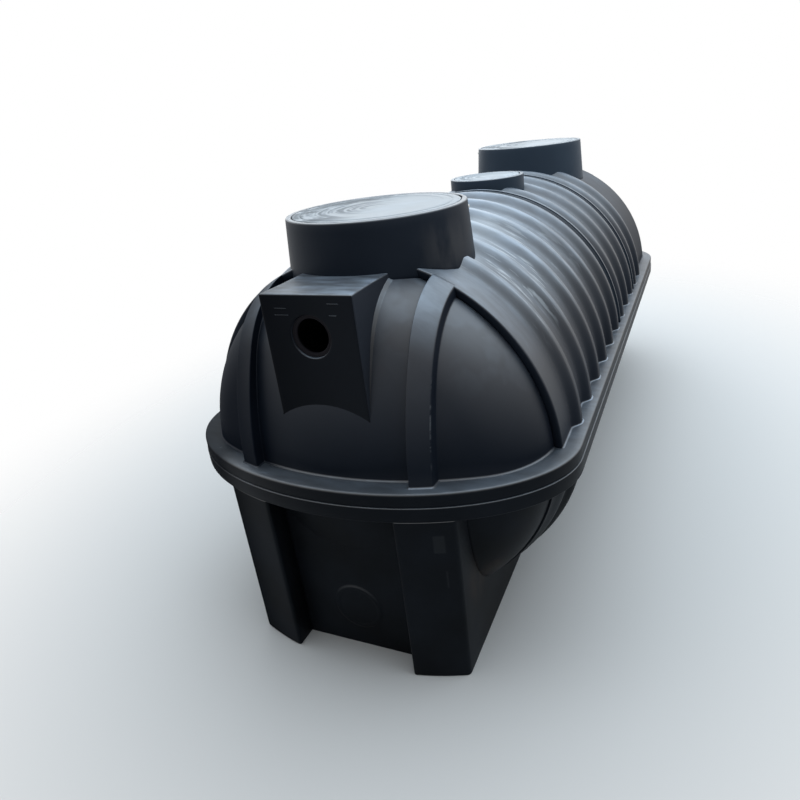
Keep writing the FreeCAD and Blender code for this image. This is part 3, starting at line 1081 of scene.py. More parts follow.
@dataclass
class DomeEnd(Part):
    """A domed end: the panels and straps above the flange, and the cheeks below it."""

    strap_inner: float = 0.283
    strap_outer: float = 0.360
    start: float = 0.040
    strap_start: float = 0.033
    inner_scale: float = 0.985
    under_flange: float = 0.004
    under_barrel: float = 0.006
    box_half: float = 0.150
    box_low: float = 1.020
    rows: int = 44
    columns: int = 40
    edge_steps: tuple = ((-0.0050, 0.0), (-0.0025, 0.006), (-0.0010, 0.03), (0.0, 0.09), (0.0004, 0.14),
                         (0.0016, 0.85), (0.0020, 0.91), (0.0030, 0.967), (0.0045, 0.993), (0.0070, 1.0))

    def across(self, low: float, reach: float) -> list[tuple[float, float]]:
        """Places across the dome, and how far each belongs to a strap.

        Args:
            low: Least distance from the middle plane.
            reach: Greatest distance from the middle plane.

        Returns:
            Distance from the middle plane and strap share, from 0 to 1, in order.
        """
        margin = self.edge_steps[-1][0]
        turn = np.linspace(0.0, math.pi / 2, self.columns)
        plain = [(float(x), 0.0) for x in reach * np.sin(turn)
                 if x > low + 0.001 and not self.strap_inner - margin < x < self.strap_outer + margin]
        strap = [(x, 1.0) for x in np.linspace(self.strap_inner + 0.016, self.strap_outer - 0.016, 4)]
        for offset, share in self.edge_steps:
            strap += [(self.strap_inner + offset, share), (self.strap_outer - offset, share)]
        return [(low, 0.0)] + sorted(plain + [item for item in strap if item[0] > low])

    def line(self, x: float, strap_share: float, base: float, inset: float) -> np.ndarray:
        """Points down the dome in one plane across the tank, from the barrel to the flange.

        Args:
            x: Distance of the plane from the middle.
            strap_share: How far the line runs over a strap.
            base: Height above the axis at which the line ends.
            inset: Distance inwards from the outer form.

        Returns:
            Distance in front of the dome's rim, and distance from the axis, of each point.
        """
        level = math.hypot(x, base)
        shares = np.linspace(0.0, 1.0, self.rows)
        spots = np.zeros((self.rows, 2))
        for profile, start, weight in [(self.form.panel, self.start, 1.0 - strap_share),
                                       (self.form.strap, self.strap_start, strap_share)]:
            if weight == 0.0:
                continue
            inner = profile.inset(inset)
            first = inner.share_at_depth(start)
            last = max(inner.share_at_radius(level), first)
            spots += weight * np.array([inner.point(first + (last - first) * share) for share in shares])
        spots[:, 1] = np.minimum(spots[:, 1], self.form.barrel_radius + 0.0002 - inset)
        return spots

    def panel_grid(self, columns: list[tuple[float, float]], base: float, side: int,
                   inset: float) -> np.ndarray:
        """Points of the dome's surface above or below the flange.

        Args:
            columns: Signed place across and strap share of each line.
            base: Height of the lower end of each line above the axis, or below it.
            side: 1 above the flange, -1 below it.
            inset: Distance inwards from the outer form.

        Returns:
            Grid of lines by points, for the front end.
        """
        grid = []
        for x, strap_share in columns:
            spots = self.line(abs(x), strap_share, base, inset)
            rise = np.sqrt(np.maximum(spots[:, 1] ** 2 - x ** 2, base ** 2))
            grid.append(np.column_stack([np.full(self.rows, x), -self.form.dome_place - spots[:, 0],
                                         self.form.axis_height + side * rise]))
        return np.array(grid)

    def flare(self, grid: np.ndarray) -> np.ndarray:
        """Add a small fillet that runs out onto the flange's ledge at the foot of each line.

        Args:
            grid: Lines that end one fillet radius above the ledge.

        Returns:
            The grid with the fillet's points.
        """
        foot = grid[:, -1, :]
        along = np.gradient(foot[:, :2], axis=0)
        along /= np.maximum(np.linalg.norm(along, axis=1, keepdims=True), 1e-9)
        outward = np.column_stack([along[:, 1], -along[:, 0], np.zeros(len(foot))])
        outward *= np.where(outward[:, 1:2] > 0.0, -1.0, 1.0)
        up = np.array([0.0, 0.0, 1.0])
        extra = [foot + self.form.ledge_fillet * (out * outward + rise * up) for out, rise in LEDGE_CURVE]
        return np.concatenate([grid, np.stack(extra, axis=1)], axis=1)

    def shell(self, name: str, outer: np.ndarray, inner: np.ndarray) -> Object:
        """Join an outer and an inner surface into a closed wall, open where the box stands.

        Args:
            name: Name of the piece.
            outer: Grid of the outer surface.
            inner: Grid of the inner surface, with the same rows and columns.

        Returns:
            The piece.
        """
        faces = sheet_faces(*outer.shape[:2], closed=False)
        points = outer.reshape(-1, 3)
        corners = points[np.array(faces)]
        open_cells = (np.abs(corners[..., 0]).max(axis=1) < self.box_half) & (
            corners[..., 2].min(axis=1) > self.box_low)
        faces = [face for face, is_open in zip(faces, open_cells) if not is_open]
        uses: dict[tuple[int, int], int] = {}
        for face in faces:
            for start, end in zip(face, face[1:] + face[:1]):
                uses[(start, end)] = uses.get((start, end), 0) + 1
        shift = len(points)
        rim = [(end, start, start + shift, end + shift) for start, end in uses if (end, start) not in uses]
        back = [tuple(index + shift for index in face[::-1]) for face in faces]
        mesh = bpy.data.meshes.new(name)
        mesh.from_pydata(np.concatenate([points, inner.reshape(-1, 3)]).tolist(), [], faces + back + rim)
        weld(mesh, solid=True)
        return add_piece(name, mesh, self.finish)

    def right_half(self, low: float, base: float) -> list[tuple[float, float]]:
        """Find the places across the right half of the dome, out to where its rim meets a level.

        Args:
            low: Least distance from the middle plane.
            base: Distance of the level from the axis.

        Returns:
            Place and strap share of each line.
        """
        rim = self.form.panel.point(self.form.panel.share_at_depth(self.start))[1]
        return self.across(low, math.sqrt(rim ** 2 - base ** 2) - 1e-4)

    def build_upper(self, end: End) -> Object:
        """Build the dome with its straps above the flange.

        Args:
            end: Which end of the tank.

        Returns:
            The piece.
        """
        base = self.form.to_ledge()
        right = self.right_half(0.0, base)
        columns = [(-x, share) for x, share in right[:0:-1]] + right
        outer = self.flare(self.panel_grid(columns, base, 1, 0.0))
        plain = [(x * self.inner_scale, 0.0) for x, _ in columns]
        inner = self.flare(self.panel_grid(plain, base, 1, self.form.wall))
        inner[:, -4:, :2] = inner[:, -5:-4, :2]
        return self.shell(f"{end.name.lower()}_dome", at_end(outer, end), at_end(inner, end))

    def build_cheek(self, end: End, side: Side) -> Object:
        """Build the dome's cheek beside the pedestal, below the flange.

        Args:
            end: Which end of the tank.
            side: Which side of it.

        Returns:
            The piece.
        """
        form = self.form
        base = form.axis_height - form.flange_bottom - self.under_flange
        right = [x for x, _ in self.right_half(form.side_plane - self.under_barrel, base)]
        outer = self.panel_grid([(side.value * x, 0.0) for x in right], base, -1, 0.0)
        plain = [(side.value * (x * self.inner_scale - 0.002), 0.0) for x in right]
        inner = self.panel_grid(plain, base, -1, form.wall)
        name = f"lower_cheek_{end.name.lower()}_{side.name.lower()}"
        return self.shell(name, at_end(outer, end), at_end(inner, end))


@dataclass
class Neck(Part):
    """A round neck on the hull, with a stepped rim that holds a flush lid."""

    label: str
    place: float
    radius: float
    top: float
    draft: float = 0.020
    drop: float = 0.278
    rim_wall: float = 0.019
    ledge_wall: float = 0.035
    rim_depth: float = 0.012
    lid_gap: float = 0.003
    notch: tuple[float, float] = (24.0, 41.0)
    notch_depth: float = 0.006
    # How much pale film lies on the lid: dried dirt and painted sheen.
    lid_dirt_and_sheen: float = 0.54
    segments: int = 144

    def foot(self, reach: float, angle: float) -> float:
        """Find the height just inside the hull's plain wall under a point of the neck.

        Args:
            reach: Distance from the neck's axis.
            angle: Bearing round it.

        Returns:
            The height.
        """
        radius = self.form.plain_radius(self.place + reach * math.sin(angle)) - self.form.wall - 0.004
        across = reach * math.cos(angle)
        return self.form.axis_height + math.sqrt(max(radius ** 2 - across ** 2, 0.0))

    def wall_radius(self, height: float) -> float:
        """Outer radius of the tapered wall at a height."""
        return self.radius + self.draft * (self.top - height) / self.drop

    def section(self, angle: float) -> list[tuple[float, float]]:
        """Find radius and height of each point of the neck's section at one bearing.

        Args:
            angle: Bearing round the neck in radians, from +X towards +Y.

        Returns:
            The section, from the foot up the outside, over the rim and down the inside.
        """
        top, wall = self.top, self.wall_radius
        reach = self.radius + self.draft * 0.9
        bearing = math.degrees(angle) % 360.0
        into = min(bearing - self.notch[0], self.notch[1] - bearing) / 2.0
        seat = self.radius - self.rim_wall + self.notch_depth * float(smooth_rise(into))
        inside = self.radius - self.ledge_wall
        outside = [(wall(z), float(z)) for z in np.linspace(self.foot(reach, angle), top - 0.006, 9)]
        rim = [(wall(top) - 0.0002, top - 0.0035), (wall(top) - 0.0011, top - 0.0015),
               (wall(top) - 0.0030, top - 0.0003), (wall(top) - 0.0050, top), (seat + 0.0035, top),
               (seat + 0.0012, top - 0.0005), (seat + 0.0002, top - 0.0018), (seat, top - 0.004),
               (seat, top - self.rim_depth), (inside, top - self.rim_depth), (inside, top - 0.024)]
        root = self.foot(reach - self.rim_wall, angle)
        return outside + rim + [(min(wall(root) - self.rim_wall, inside + 0.012), root)]

    def build(self) -> Object:
        """Build the neck.

        Returns:
            The piece.
        """
        turn = np.linspace(0.0, FULL_TURN, self.segments, endpoint=False)
        columns = [[(radius * math.cos(a), self.place + radius * math.sin(a), height)
                    for radius, height in self.section(a)] for a in turn]
        grid = np.array(columns).transpose(1, 0, 2)
        return add_solid(f"{self.label}_neck", [np.concatenate([grid, grid[:1]])], self.finish, caps=False)

    def build_lid(self) -> Object:
        """Build the lid with its shallow rings.

        Returns:
            The piece.
        """
        edge, top = self.radius - self.rim_wall - self.lid_gap, self.top
        bottom = top - self.rim_depth + 0.0005
        step, groove = edge - 0.062, edge - 0.028
        dish = top - 0.0012
        profile = [(0.0, bottom), (0.0, dish), (step * 0.5, dish), (step - 0.003, dish),
                   (step, top - 0.0010), (step + 0.002, top - 0.0002), (step + 0.004, top),
                   (groove - 0.004, top), (groove - 0.0025, top - 0.0004), (groove - 0.001, top - 0.0024),
                   (groove + 0.001, top - 0.0024), (groove + 0.0025, top - 0.0004), (groove + 0.004, top),
                   (edge - 0.003, top), (edge - 0.001, top - 0.0004), (edge - 0.0002, top - 0.0014),
                   (edge, top - 0.003), (edge, bottom)]
        name = f"{self.label}_lid"
        mesh = lathe(name, profile, self.segments)
        mesh.transform(Matrix.Translation((0.0, self.place, 0.0)))
        return add_piece(name, mesh, LidPlastic(f"{name}_plastic", self.place, self.lid_dirt_and_sheen).build())


@dataclass
class LidScrews:
    """Small bright screws through a neck's wall just below its rim."""

    neck: Neck
    finish: Material
    bearing: float = 17.6
    below_top: float = 0.028
    head_radius: float = 0.0065
    count: int = 2

    def head(self) -> Object:
        """Make one domed head that looks along X.

        Returns:
            The head, as the seed of the ring.
        """
        radius = self.head_radius
        profile = [(0.0, -0.004), (radius, -0.004), (radius, 0.0012), (radius * 0.82, 0.0027),
                   (radius * 0.45, 0.0038), (0.0, 0.0042)]
        mesh = lathe("screw_head", profile, 14)
        mesh.transform(Matrix.Rotation(math.pi / 2, 4, "Y"))
        return add_piece("screw_head", mesh, self.finish)

    def build(self) -> Object:
        """Set the heads round the neck, each looking outwards.

        Returns:
            The piece.
        """
        neck = self.neck
        height = neck.top - self.below_top
        tree = RepeatTree("screw_ring", {
            "Centre": ("Vector", (0.0, neck.place, height)), "Radius": ("Float", neck.wall_radius(height)),
            "Count": ("Int", self.count), "Bearing": ("Float", math.radians(self.bearing)),
            "Finish": ("Material", self.finish)})
        count = tree.given("Count")
        angle = tree.add("GeometryNodeInputIndex") / count * FULL_TURN + tree.given("Bearing")
        arm = tree.add("ShaderNodeCombineXYZ", None, {"X": tree.given("Radius")})
        swing = tree.add("ShaderNodeVectorRotate", {"rotation_type": "Z_AXIS"}, {
            "Vector": arm, "Angle": angle})
        spot = tree.add("ShaderNodeVectorMath", None, {0: swing, 1: tree.given("Centre")})
        points = tree.add("GeometryNodePoints", None, {"Count": count, "Position": spot})
        tree.spread(points, tree.add("ShaderNodeCombineXYZ", None, {"Z": angle}))
        return add_piece(f"{neck.label}_lid_screws", tree.grow(self.head()), self.finish)


@dataclass
class PipeBox(Part):
    """A moulded box on a dome, with a round hole and a rubber seal for the pipe."""

    seal_finish: Material
    half_width: float = 0.162
    face: float = 1.661
    back: float = 1.352
    low: float = 0.925
    top: float = 1.355
    pipe_height: float = 1.223
    hole_radius: float = 0.069
    seal_bore: float = 0.055
    seal_length: float = 0.024
    seal_recess: float = 0.006
    corner: float = 0.006
    edge: float = 0.0045
    sink_in: float = 0.004
    edge_steps: tuple = ((0.0025, 0.0005), (0.0012, 0.0014), (0.0003, 0.0030), (0.0, 0.0052))
    marks: tuple = ((-0.116, -0.065, 1.290), (-0.112, -0.070, 1.311), (0.076, 0.102, 1.291),
                    (0.074, 0.113, 1.327))

    def border(self, inset: float) -> np.ndarray:
        """Find points round the front face's rounded outline.

        Args:
            inset: Distance inwards from the outline.

        Returns:
            Place across and height of each point, anticlockwise from the front.
        """
        half = self.half_width
        corners = [(half, self.low), (half, self.top), (-half, self.top), (-half, self.low)]
        radius = max(self.corner, inset + 0.001)
        points = []
        for index, (x, z) in enumerate(corners):
            turn = np.radians(np.linspace(-90.0, 0.0, 6) + 90.0 * index)
            middle = (x - math.copysign(radius, x), z + (radius if index in (0, 3) else -radius))
            arc = np.array(middle) + (radius - inset) * np.column_stack([np.cos(turn), np.sin(turn)])
            ahead = np.array(corners[(index + 1) % 4]) - np.array([x, z])
            run = np.linspace(0.0, 1.0, 22)[1:-1, None]
            points += [arc, arc[-1] + run * ahead * (1.0 - 2.0 * radius / np.linalg.norm(ahead))]
        return np.concatenate(points)

    def rows(self) -> np.ndarray:
        """Find rows of points from inside the hole, over the face and back along the sides.

        Returns:
            The grid for the front end.
        """
        flat, outline, centre = self.border(self.edge), self.border(0.0), np.array([0.0, self.pipe_height])
        ray = (flat - centre) / np.linalg.norm(flat - centre, axis=1, keepdims=True)
        mouth = [(0.0, self.seal_length + 0.006), (0.0, 0.004), (0.0003, 0.0018), (0.0012, 0.0006),
                 (0.003, 0.0), (0.008, 0.0)]
        rings = [(centre + ray * (self.hole_radius + reach), depth) for reach, depth in mouth]
        first = rings[-1][0]
        rings += [(first + (flat - first) * share, 0.0) for share in np.linspace(0.0, 1.0, 12)[1:]]
        rings += [(self.border(inset), depth) for inset, depth in self.edge_steps]
        for share in np.linspace(0.03, 1.0, 20):
            pull = 1.0 - self.sink_in * math.sin(math.pi * min(share * 1.15, 1.0)) / self.half_width
            rings.append((outline * np.array([pull, 1.0]), (self.face - self.back) * share))
        return np.array([stand(ring, depth - self.face) for ring, depth in rings])

    def build(self, end: End, label: str) -> Object:
        """Build the box.

        Args:
            end: Which end of the tank.
            label: Name of the piece.

        Returns:
            The piece.
        """
        mesh = grid_mesh(label, [at_end(self.rows(), end)], closed=True)
        inside = (0.0, end.value * self.back, self.pipe_height)
        return add_walled(label, mesh, inside, self.finish, self.form.wall)

    def build_marks(self, end: End, label: str) -> Object:
        """Build the short plain raised lines above the hole.

        Args:
            end: Which end of the tank.
            label: Name of the piece.

        Returns:
            The piece.
        """
        turn = np.linspace(0.0, FULL_TURN, 8, endpoint=False)
        section = np.column_stack([-0.0011 * np.cos(turn), 0.0014 * np.sin(turn)])
        grids = []
        for left, right, height in self.marks:
            steps = [(left, 0.15), (left + 0.0006, 0.7), (left + 0.002, 1.0), (right - 0.002, 1.0),
                     (right - 0.0006, 0.7), (right, 0.15)]
            rows = [np.insert(np.array([-self.face, height]) + scale * section, 0, x, axis=1)
                    for x, scale in steps]
            grids.append(at_end(np.array(rows), end))
        return add_solid(label, grids, self.finish)

    def build_seal(self, end: End, label: str) -> Object:
        """Build the seal: a ring with a rounded lip that grips the pipe.

        Args:
            end: Which end of the tank.
            label: Name of the piece.

        Returns:
            The piece.
        """
        outer, bore = self.hole_radius - 0.0003, self.seal_bore
        length = self.seal_length - self.seal_recess
        middle = length / 2
        bead = [(bore + 0.004 * (1.0 - math.cos(a)), middle + 0.006 * math.sin(a))
                for a in np.linspace(1.4, -1.4, 9)]
        profile = [(outer, 0.0005), (outer, length), (outer - 0.004, length),
                   (outer - 0.005, length - 0.004), (bore + 0.0055, middle + 0.0072), *bead,
                   (bore + 0.0055, middle - 0.0072), (outer - 0.005, 0.004), (outer - 0.0035, 0.0008)]
        mesh = lathe(label, profile, 96)
        turn = Matrix.Rotation(math.pi / 2 * end.value, 4, "X")
        place = Matrix.Translation((0.0, end.value * (self.face - self.seal_recess), self.pipe_height))
        mesh.transform(place @ turn)
        return add_piece(label, mesh, self.seal_finish)

    def build_fillets(self, end: End, label: str) -> Object:
        """Build the flared strips where the box's sides run into the dome.

        Args:
            end: Which end of the tank.
            label: Name of the piece.

        Returns:
            The piece.
        """
        form, panel = self.form, self.form.panel
        first = panel.share_at_depth(form.barrel_end - form.dome_place + 0.010)
        last = panel.share_at_depth(self.face - form.dome_place)
        curve = [(x, (1.0 + math.cos(math.pi * x)) / 2) for x in np.linspace(0.0, 1.0, 10)]
        section = [(-0.010, 1.0), *curve, (1.0, -0.7), (-0.2, -0.7)]
        grids = []
        for side in (-1, 1):
            rows = []
            for step in np.linspace(0.0, 1.0, 36):
                width, height = 0.020 - 0.013 * step, 0.0080 - 0.0065 * step
                share = first + (last - first) * step
                depth, radius = panel.point(share)
                ahead, beyond = panel.point(min(share + 0.01, 1.0))
                normal = np.array([radius - beyond, ahead - depth])
                normal /= np.linalg.norm(normal)
                row = []
                for out, up in section:
                    x = self.half_width - 0.006 + width * out
                    rise = math.sqrt(max(radius ** 2 - x ** 2, 0.0))
                    lift = normal * (height * up - 0.0003)
                    row.append((side * x, -form.dome_place - depth - lift[0],
                                form.axis_height + rise + lift[1] * rise / radius))
                rows.append(row)
            grids.append(at_end(np.array(rows), end))
        return add_solid(label, grids, self.finish)


@dataclass
class Flange(Part):
    """The ring round the hull where its two halves meet."""

    step: float = 0.003
    inner: float = 0.092
    skin: float = 0.010

    def sweep(self, name: str, section: list[tuple[float, float]]) -> Object:
        """Sweep a closed section round the plan.

        Args:
            name: Name of the piece.
            section: Inset and height of each point.

        Returns:
            The piece.
        """
        rings = [self.form.plan_ring(inset, height) for inset, height in section + section[:1]]
        return add_solid(name, [np.array(rings)], self.finish, caps=False)

    def build_upper(self) -> Object:
        """Build the upper half, with a level ledge and a rounded edge.

        Returns:
            The piece.
        """
        top, low, step = self.form.flange_top, self.form.parting_height, self.step
        lip = low + 0.0010
        return self.sweep("upper_flange", [
            (self.inner, top - self.skin), (self.inner, top), (0.060, top), (0.030, top - 0.0002),
            (0.0120, top - 0.0006), (0.0070, top - 0.0016), (0.0045, top - 0.0036), (0.0034, top - 0.0065),
            (step, top - 0.011), (step, lip + 0.003), (step + 0.0004, lip + 0.0010), (step + 0.0015, lip),
            (step + 0.007, lip), (step + self.skin, lip + 0.004),
            (step + self.skin, top - self.skin - 0.004), (step + self.skin + 0.006, top - self.skin)])

    def build_lower(self) -> Object:
        """Build the lower half, with a rounded lip at the parting line.

        Returns:
            The piece.
        """
        top, low = self.form.parting_height, self.form.flange_bottom
        return self.sweep("lower_flange", [
            (0.010, top - 0.001), (0.0060, top), (0.0030, top), (0.0012, top - 0.0005),
            (0.0003, top - 0.0016), (0.0, top - 0.004), (0.0, low + 0.006), (0.0008, low + 0.0025),
            (0.0025, low + 0.0007), (0.006, low), (self.inner, low), (self.inner, low + self.skin),
            (0.020, low + self.skin), (0.012, low + self.skin + 0.006)])


@dataclass
class Pedestal(Part):
    """The moulded base below the hull: side walls, end legs, recessed end panels and a floor."""

    leg_inner: float = 0.235
    recess_face: float = 1.670
    boss_height: float = 0.180
    boss_radius: float = 0.100
    boss_rise: float = 0.004
    corner: float = 0.014
    wall: float = 0.010
    tuck: float = 0.002
    sink: float = 0.010
    floor_inset: float = 0.007
    floor_heights: tuple = (0.0005, 0.011)
    centre: tuple = (0.0, 0.0, 0.3)
    foot_steps: tuple = ((0.0, 0.006), (0.0, 0.0045), (0.001, 0.0018), (0.003, 0.0005), (0.007, 0.0))

    def leg_front(self, x: float) -> float:
        """Distance of a leg's front face from the middle of the tank at a place across."""
        form = self.form
        return form.dome_place + form.flange_depth * math.sqrt(1.0 - (x / form.flange_half_width) ** 2)

    def path(self, side: Side) -> np.ndarray:
        """Plan of one side wall and its two legs, with rounded corners.

        Args:
            side: Which side of the tank.

        Returns:
            Points of the open path.
        """
        inner, outer = self.leg_inner, self.form.side_plane
        face = [np.array([x, -self.leg_front(x)]) for x in np.linspace(inner, outer, 9)]
        root, middle = np.array([inner, 0.004 - self.recess_face]), np.array([outer, 0.0])
        rounded = [root, *self.bend(face[0], root, face[1]), *face[1:-1],
                   *self.bend(face[-1], face[-2], middle)]
        run = np.column_stack([np.full(100, outer), np.linspace(-1.65, 0.0, 100)])
        half = np.concatenate([np.array(rounded), run])
        whole = np.concatenate([half, (half * np.array([1.0, -1.0]))[-2::-1]])
        return whole * np.array([side.value, 1.0])

    def path_with_normals(self, side: Side) -> tuple[np.ndarray, np.ndarray]:
        """Find the plan of one side and, at each of its points, the way to the pedestal's inside.

        Args:
            side: Which side of the tank.

        Returns:
            The points and the unit vectors.
        """
        plan = self.path(side)
        along = np.gradient(plan, axis=0)
        along /= np.linalg.norm(along, axis=1, keepdims=True)
        return plan, np.column_stack([-along[:, 1], along[:, 0]]) * side.value

    def bend(self, spot: np.ndarray, before: np.ndarray, after: np.ndarray) -> np.ndarray:
        """Round one corner of a plan.

        Args:
            spot: The corner.
            before: A point on the line into it.
            after: A point on the line out of it.

        Returns:
            Points of a short curve round the corner.
        """
        start, end = (spot + (point - spot) / np.linalg.norm(point - spot) * self.corner
                      for point in (before, after))
        share = np.linspace(0.0, 1.0, 7)[:, None]
        return (1 - share) ** 2 * start + 2 * share * (1 - share) * spot + share ** 2 * end

    def wall_top(self, x: float, y: float) -> float:
        """Find the height at which the side wall ends: inside the hull's underside, or under the flange.

        Args:
            x: Place across.
            y: Place along.

        Returns:
            The height.
        """
        radius = self.form.lower_radius(y)
        top = self.form.flange_bottom + self.tuck
        if radius <= abs(x):
            return top
        return min(self.form.axis_height - math.sqrt(radius ** 2 - x ** 2) + self.sink, top)

    def build_side(self, side: Side) -> Object:
        """Build a side wall with its legs.

        Args:
            side: Which side of the tank.

        Returns:
            The piece.
        """
        plan, inward = self.path_with_normals(side)
        tops = np.array([self.wall_top(x, y) for x, y in plan])
        rows = [lay(plan + inward * inset, height) for height, inset in self.foot_steps]
        rows += [lay(plan, tops * share) for share in (*np.linspace(0.08, 0.97, 13), 0.99, 0.996, 1.0)]
        name = f"pedestal_{side.name.lower()}"
        return add_walled(name, grid_mesh(name, [np.array(rows)]), self.centre, self.finish, self.wall)

    def panel_depth(self, x: float, z: float) -> float:
        """Distance of the recess panel's face from the middle of the tank.

        Args:
            x: Place across.
            z: Height.

        Returns:
            The distance, with the round boss and the dome's swell.
        """
        reach = math.hypot(x, z - self.boss_height)
        rise = self.boss_rise * float(smooth_rise((self.boss_radius - reach) / 0.012))
        dish = 0.0015 * float(smooth_rise((self.boss_radius * 0.82 - reach) / 0.006))
        panel = self.form.panel
        radius = math.hypot(x, z - self.form.axis_height)
        swell = 0.0
        if radius < panel.radius:
            swell = self.form.dome_place + panel.point(panel.share_at_radius(radius))[0] - self.recess_face
        return self.recess_face + max(swell, 0.0) + rise - dish

    def build_panel(self, end: End) -> Object:
        """Build the recessed panel between two legs.

        Args:
            end: Which end of the tank.

        Returns:
            The piece.
        """
        across = np.linspace(-self.leg_inner - self.tuck, self.leg_inner + self.tuck, 95)
        up = np.linspace(0.001, self.form.flange_bottom + self.tuck, 130)
        grid = np.array([[(x, -self.panel_depth(x, z), z) for x in across] for z in up])
        name = f"{end.name.lower()}_recess_panel"
        return add_walled(name, grid_mesh(name, [at_end(grid, end)]), self.centre, self.finish, self.wall)

    def build_floor(self) -> Object:
        """Build the floor and the soles of the legs as one plate that ends inside the walls.

        Returns:
            The piece.
        """
        sides = []
        for side in (Side.RIGHT, Side.LEFT):
            plan, inward = self.path_with_normals(side)
            sides.append((plan + inward * self.floor_inset)[::side.value])
        ring = np.concatenate(sides)
        rings = np.array([lay(ring, height) for height in self.floor_heights])
        return add_solid("pedestal_floor", [rings], self.finish)


@dataclass(frozen=True)
class Lamp:
    """One soft rectangular lamp: where it hangs and points, its size, power in watts and colour."""

    name: str
    spot: tuple
    aim: tuple
    size: tuple
    power: float
    colour: tuple

    def hang(self) -> None:
        """Hang the lamp, unseen by the camera."""
        data = bpy.data.lights.new(self.name, "AREA")
        data.shape = "RECTANGLE"
        data.size, data.size_y = self.size
        data.energy = self.power
        data.color = self.colour
        lamp = bpy.data.objects.new(self.name, data)
        lamp.location = self.spot
        lamp.rotation_euler = (Vector(self.aim) - Vector(self.spot)).to_track_quat("-Z", "Y").to_euler()
        lamp.visible_camera = False
        bpy.context.scene.collection.objects.link(lamp)


@dataclass
class Studio:
    """Camera, lamps, world and floor."""

    spot: tuple = (1.0673, -3.1913, 1.8115)
    turn: tuple = (65.678, 5.881, 22.627)
    lens: float = 28.66
    shift: tuple = (-0.0270, -0.0037)
    floor_half: float = 9.0
    floor_colour: tuple = (0.94, 0.88, 0.83, 1.0)
    floor_fade: tuple = (1.2, 3.4)
    sky_colour: tuple = (0.84, 0.93, 1.0, 1.0)
    sky_strength: float = 0.25
    lamps: tuple = (
        Lamp("sky_lamp", (1.0, 2.5, 6.0), (1.0, 2.5, 0.0), (14.0, 11.0), 700.0, (0.72, 0.87, 1.0)),
        Lamp("back_lamp", (-5.5, 8.5, 3.2), (-5.5, 0.0, 3.2), (9.0, 4.0), 170.0, (0.86, 0.94, 1.0)))

    def place_camera(self) -> None:
        """Put the camera where the picture was taken from."""
        data = bpy.data.cameras.new("view")
        data.lens = self.lens
        data.sensor_width = 36.0
        data.shift_x, data.shift_y = self.shift
        camera = bpy.data.objects.new("view", data)
        camera.location = self.spot
        camera.rotation_euler = [math.radians(angle) for angle in self.turn]
        bpy.context.scene.collection.objects.link(camera)
        bpy.context.scene.camera = camera

    def light_world(self) -> None:
        """Give the world a dim sky that the camera, gloss and clear things see as plain white."""
        world = bpy.data.worlds.new("sky")
        bpy.context.scene.world = world
        world.use_nodes = True
        tree = NodeTree(world.node_tree)
        dim = tree.add("ShaderNodeBackground", None, {
            "Color": self.sky_colour, "Strength": self.sky_strength})
        white = tree.add("ShaderNodeBackground", None, {"Color": (1.0, 1.0, 1.0, 1.0)})
        seen, gloss, clear = (tree.add("ShaderNodeLightPath", None, None, f"Is {kind} Ray")
                              for kind in ("Camera", "Glossy", "Transmission"))
        mix = tree.add("ShaderNodeMixShader", None, {0: seen.larger(gloss).larger(clear), 1: dim, 2: white})
        tree.add("ShaderNodeOutputWorld", None, {"Surface": mix})

    def lay_floor(self) -> None:
        """Lay the pale floor, which takes the shadow near the tank and fades into the white further out."""
        corners = [(x * self.floor_half, y * self.floor_half, 0.0)
                   for x, y in ((-1, -1), (1, -1), (1, 1), (-1, 1))]
        mesh = bpy.data.meshes.new("floor")
        mesh.from_pydata(corners, [], [(0, 1, 2, 3)])
        tree = ShaderTree("floor")
        oval = tree.add("ShaderNodeMapping", None, {"Vector": tree.point, "Scale": (1.0, 0.72, 1.0)})
        pale = tree.add("ShaderNodeBsdfDiffuse", None, {"Color": self.floor_colour})
        gone = tree.add("ShaderNodeBsdfTransparent")
        fade = tree.length(oval).band(*self.floor_fade)
        mix = tree.add("ShaderNodeMixShader", None, {0: fade, 1: pale, 2: gone})
        add_piece("floor", mesh, tree.finish(mix))

    def build(self) -> None:
        """Set the whole studio."""
        self.light_world()
        self.lay_floor()
        self.place_camera()
        for lamp in self.lamps:
            lamp.hang()
        bpy.context.scene.view_settings.view_transform = "Standard"


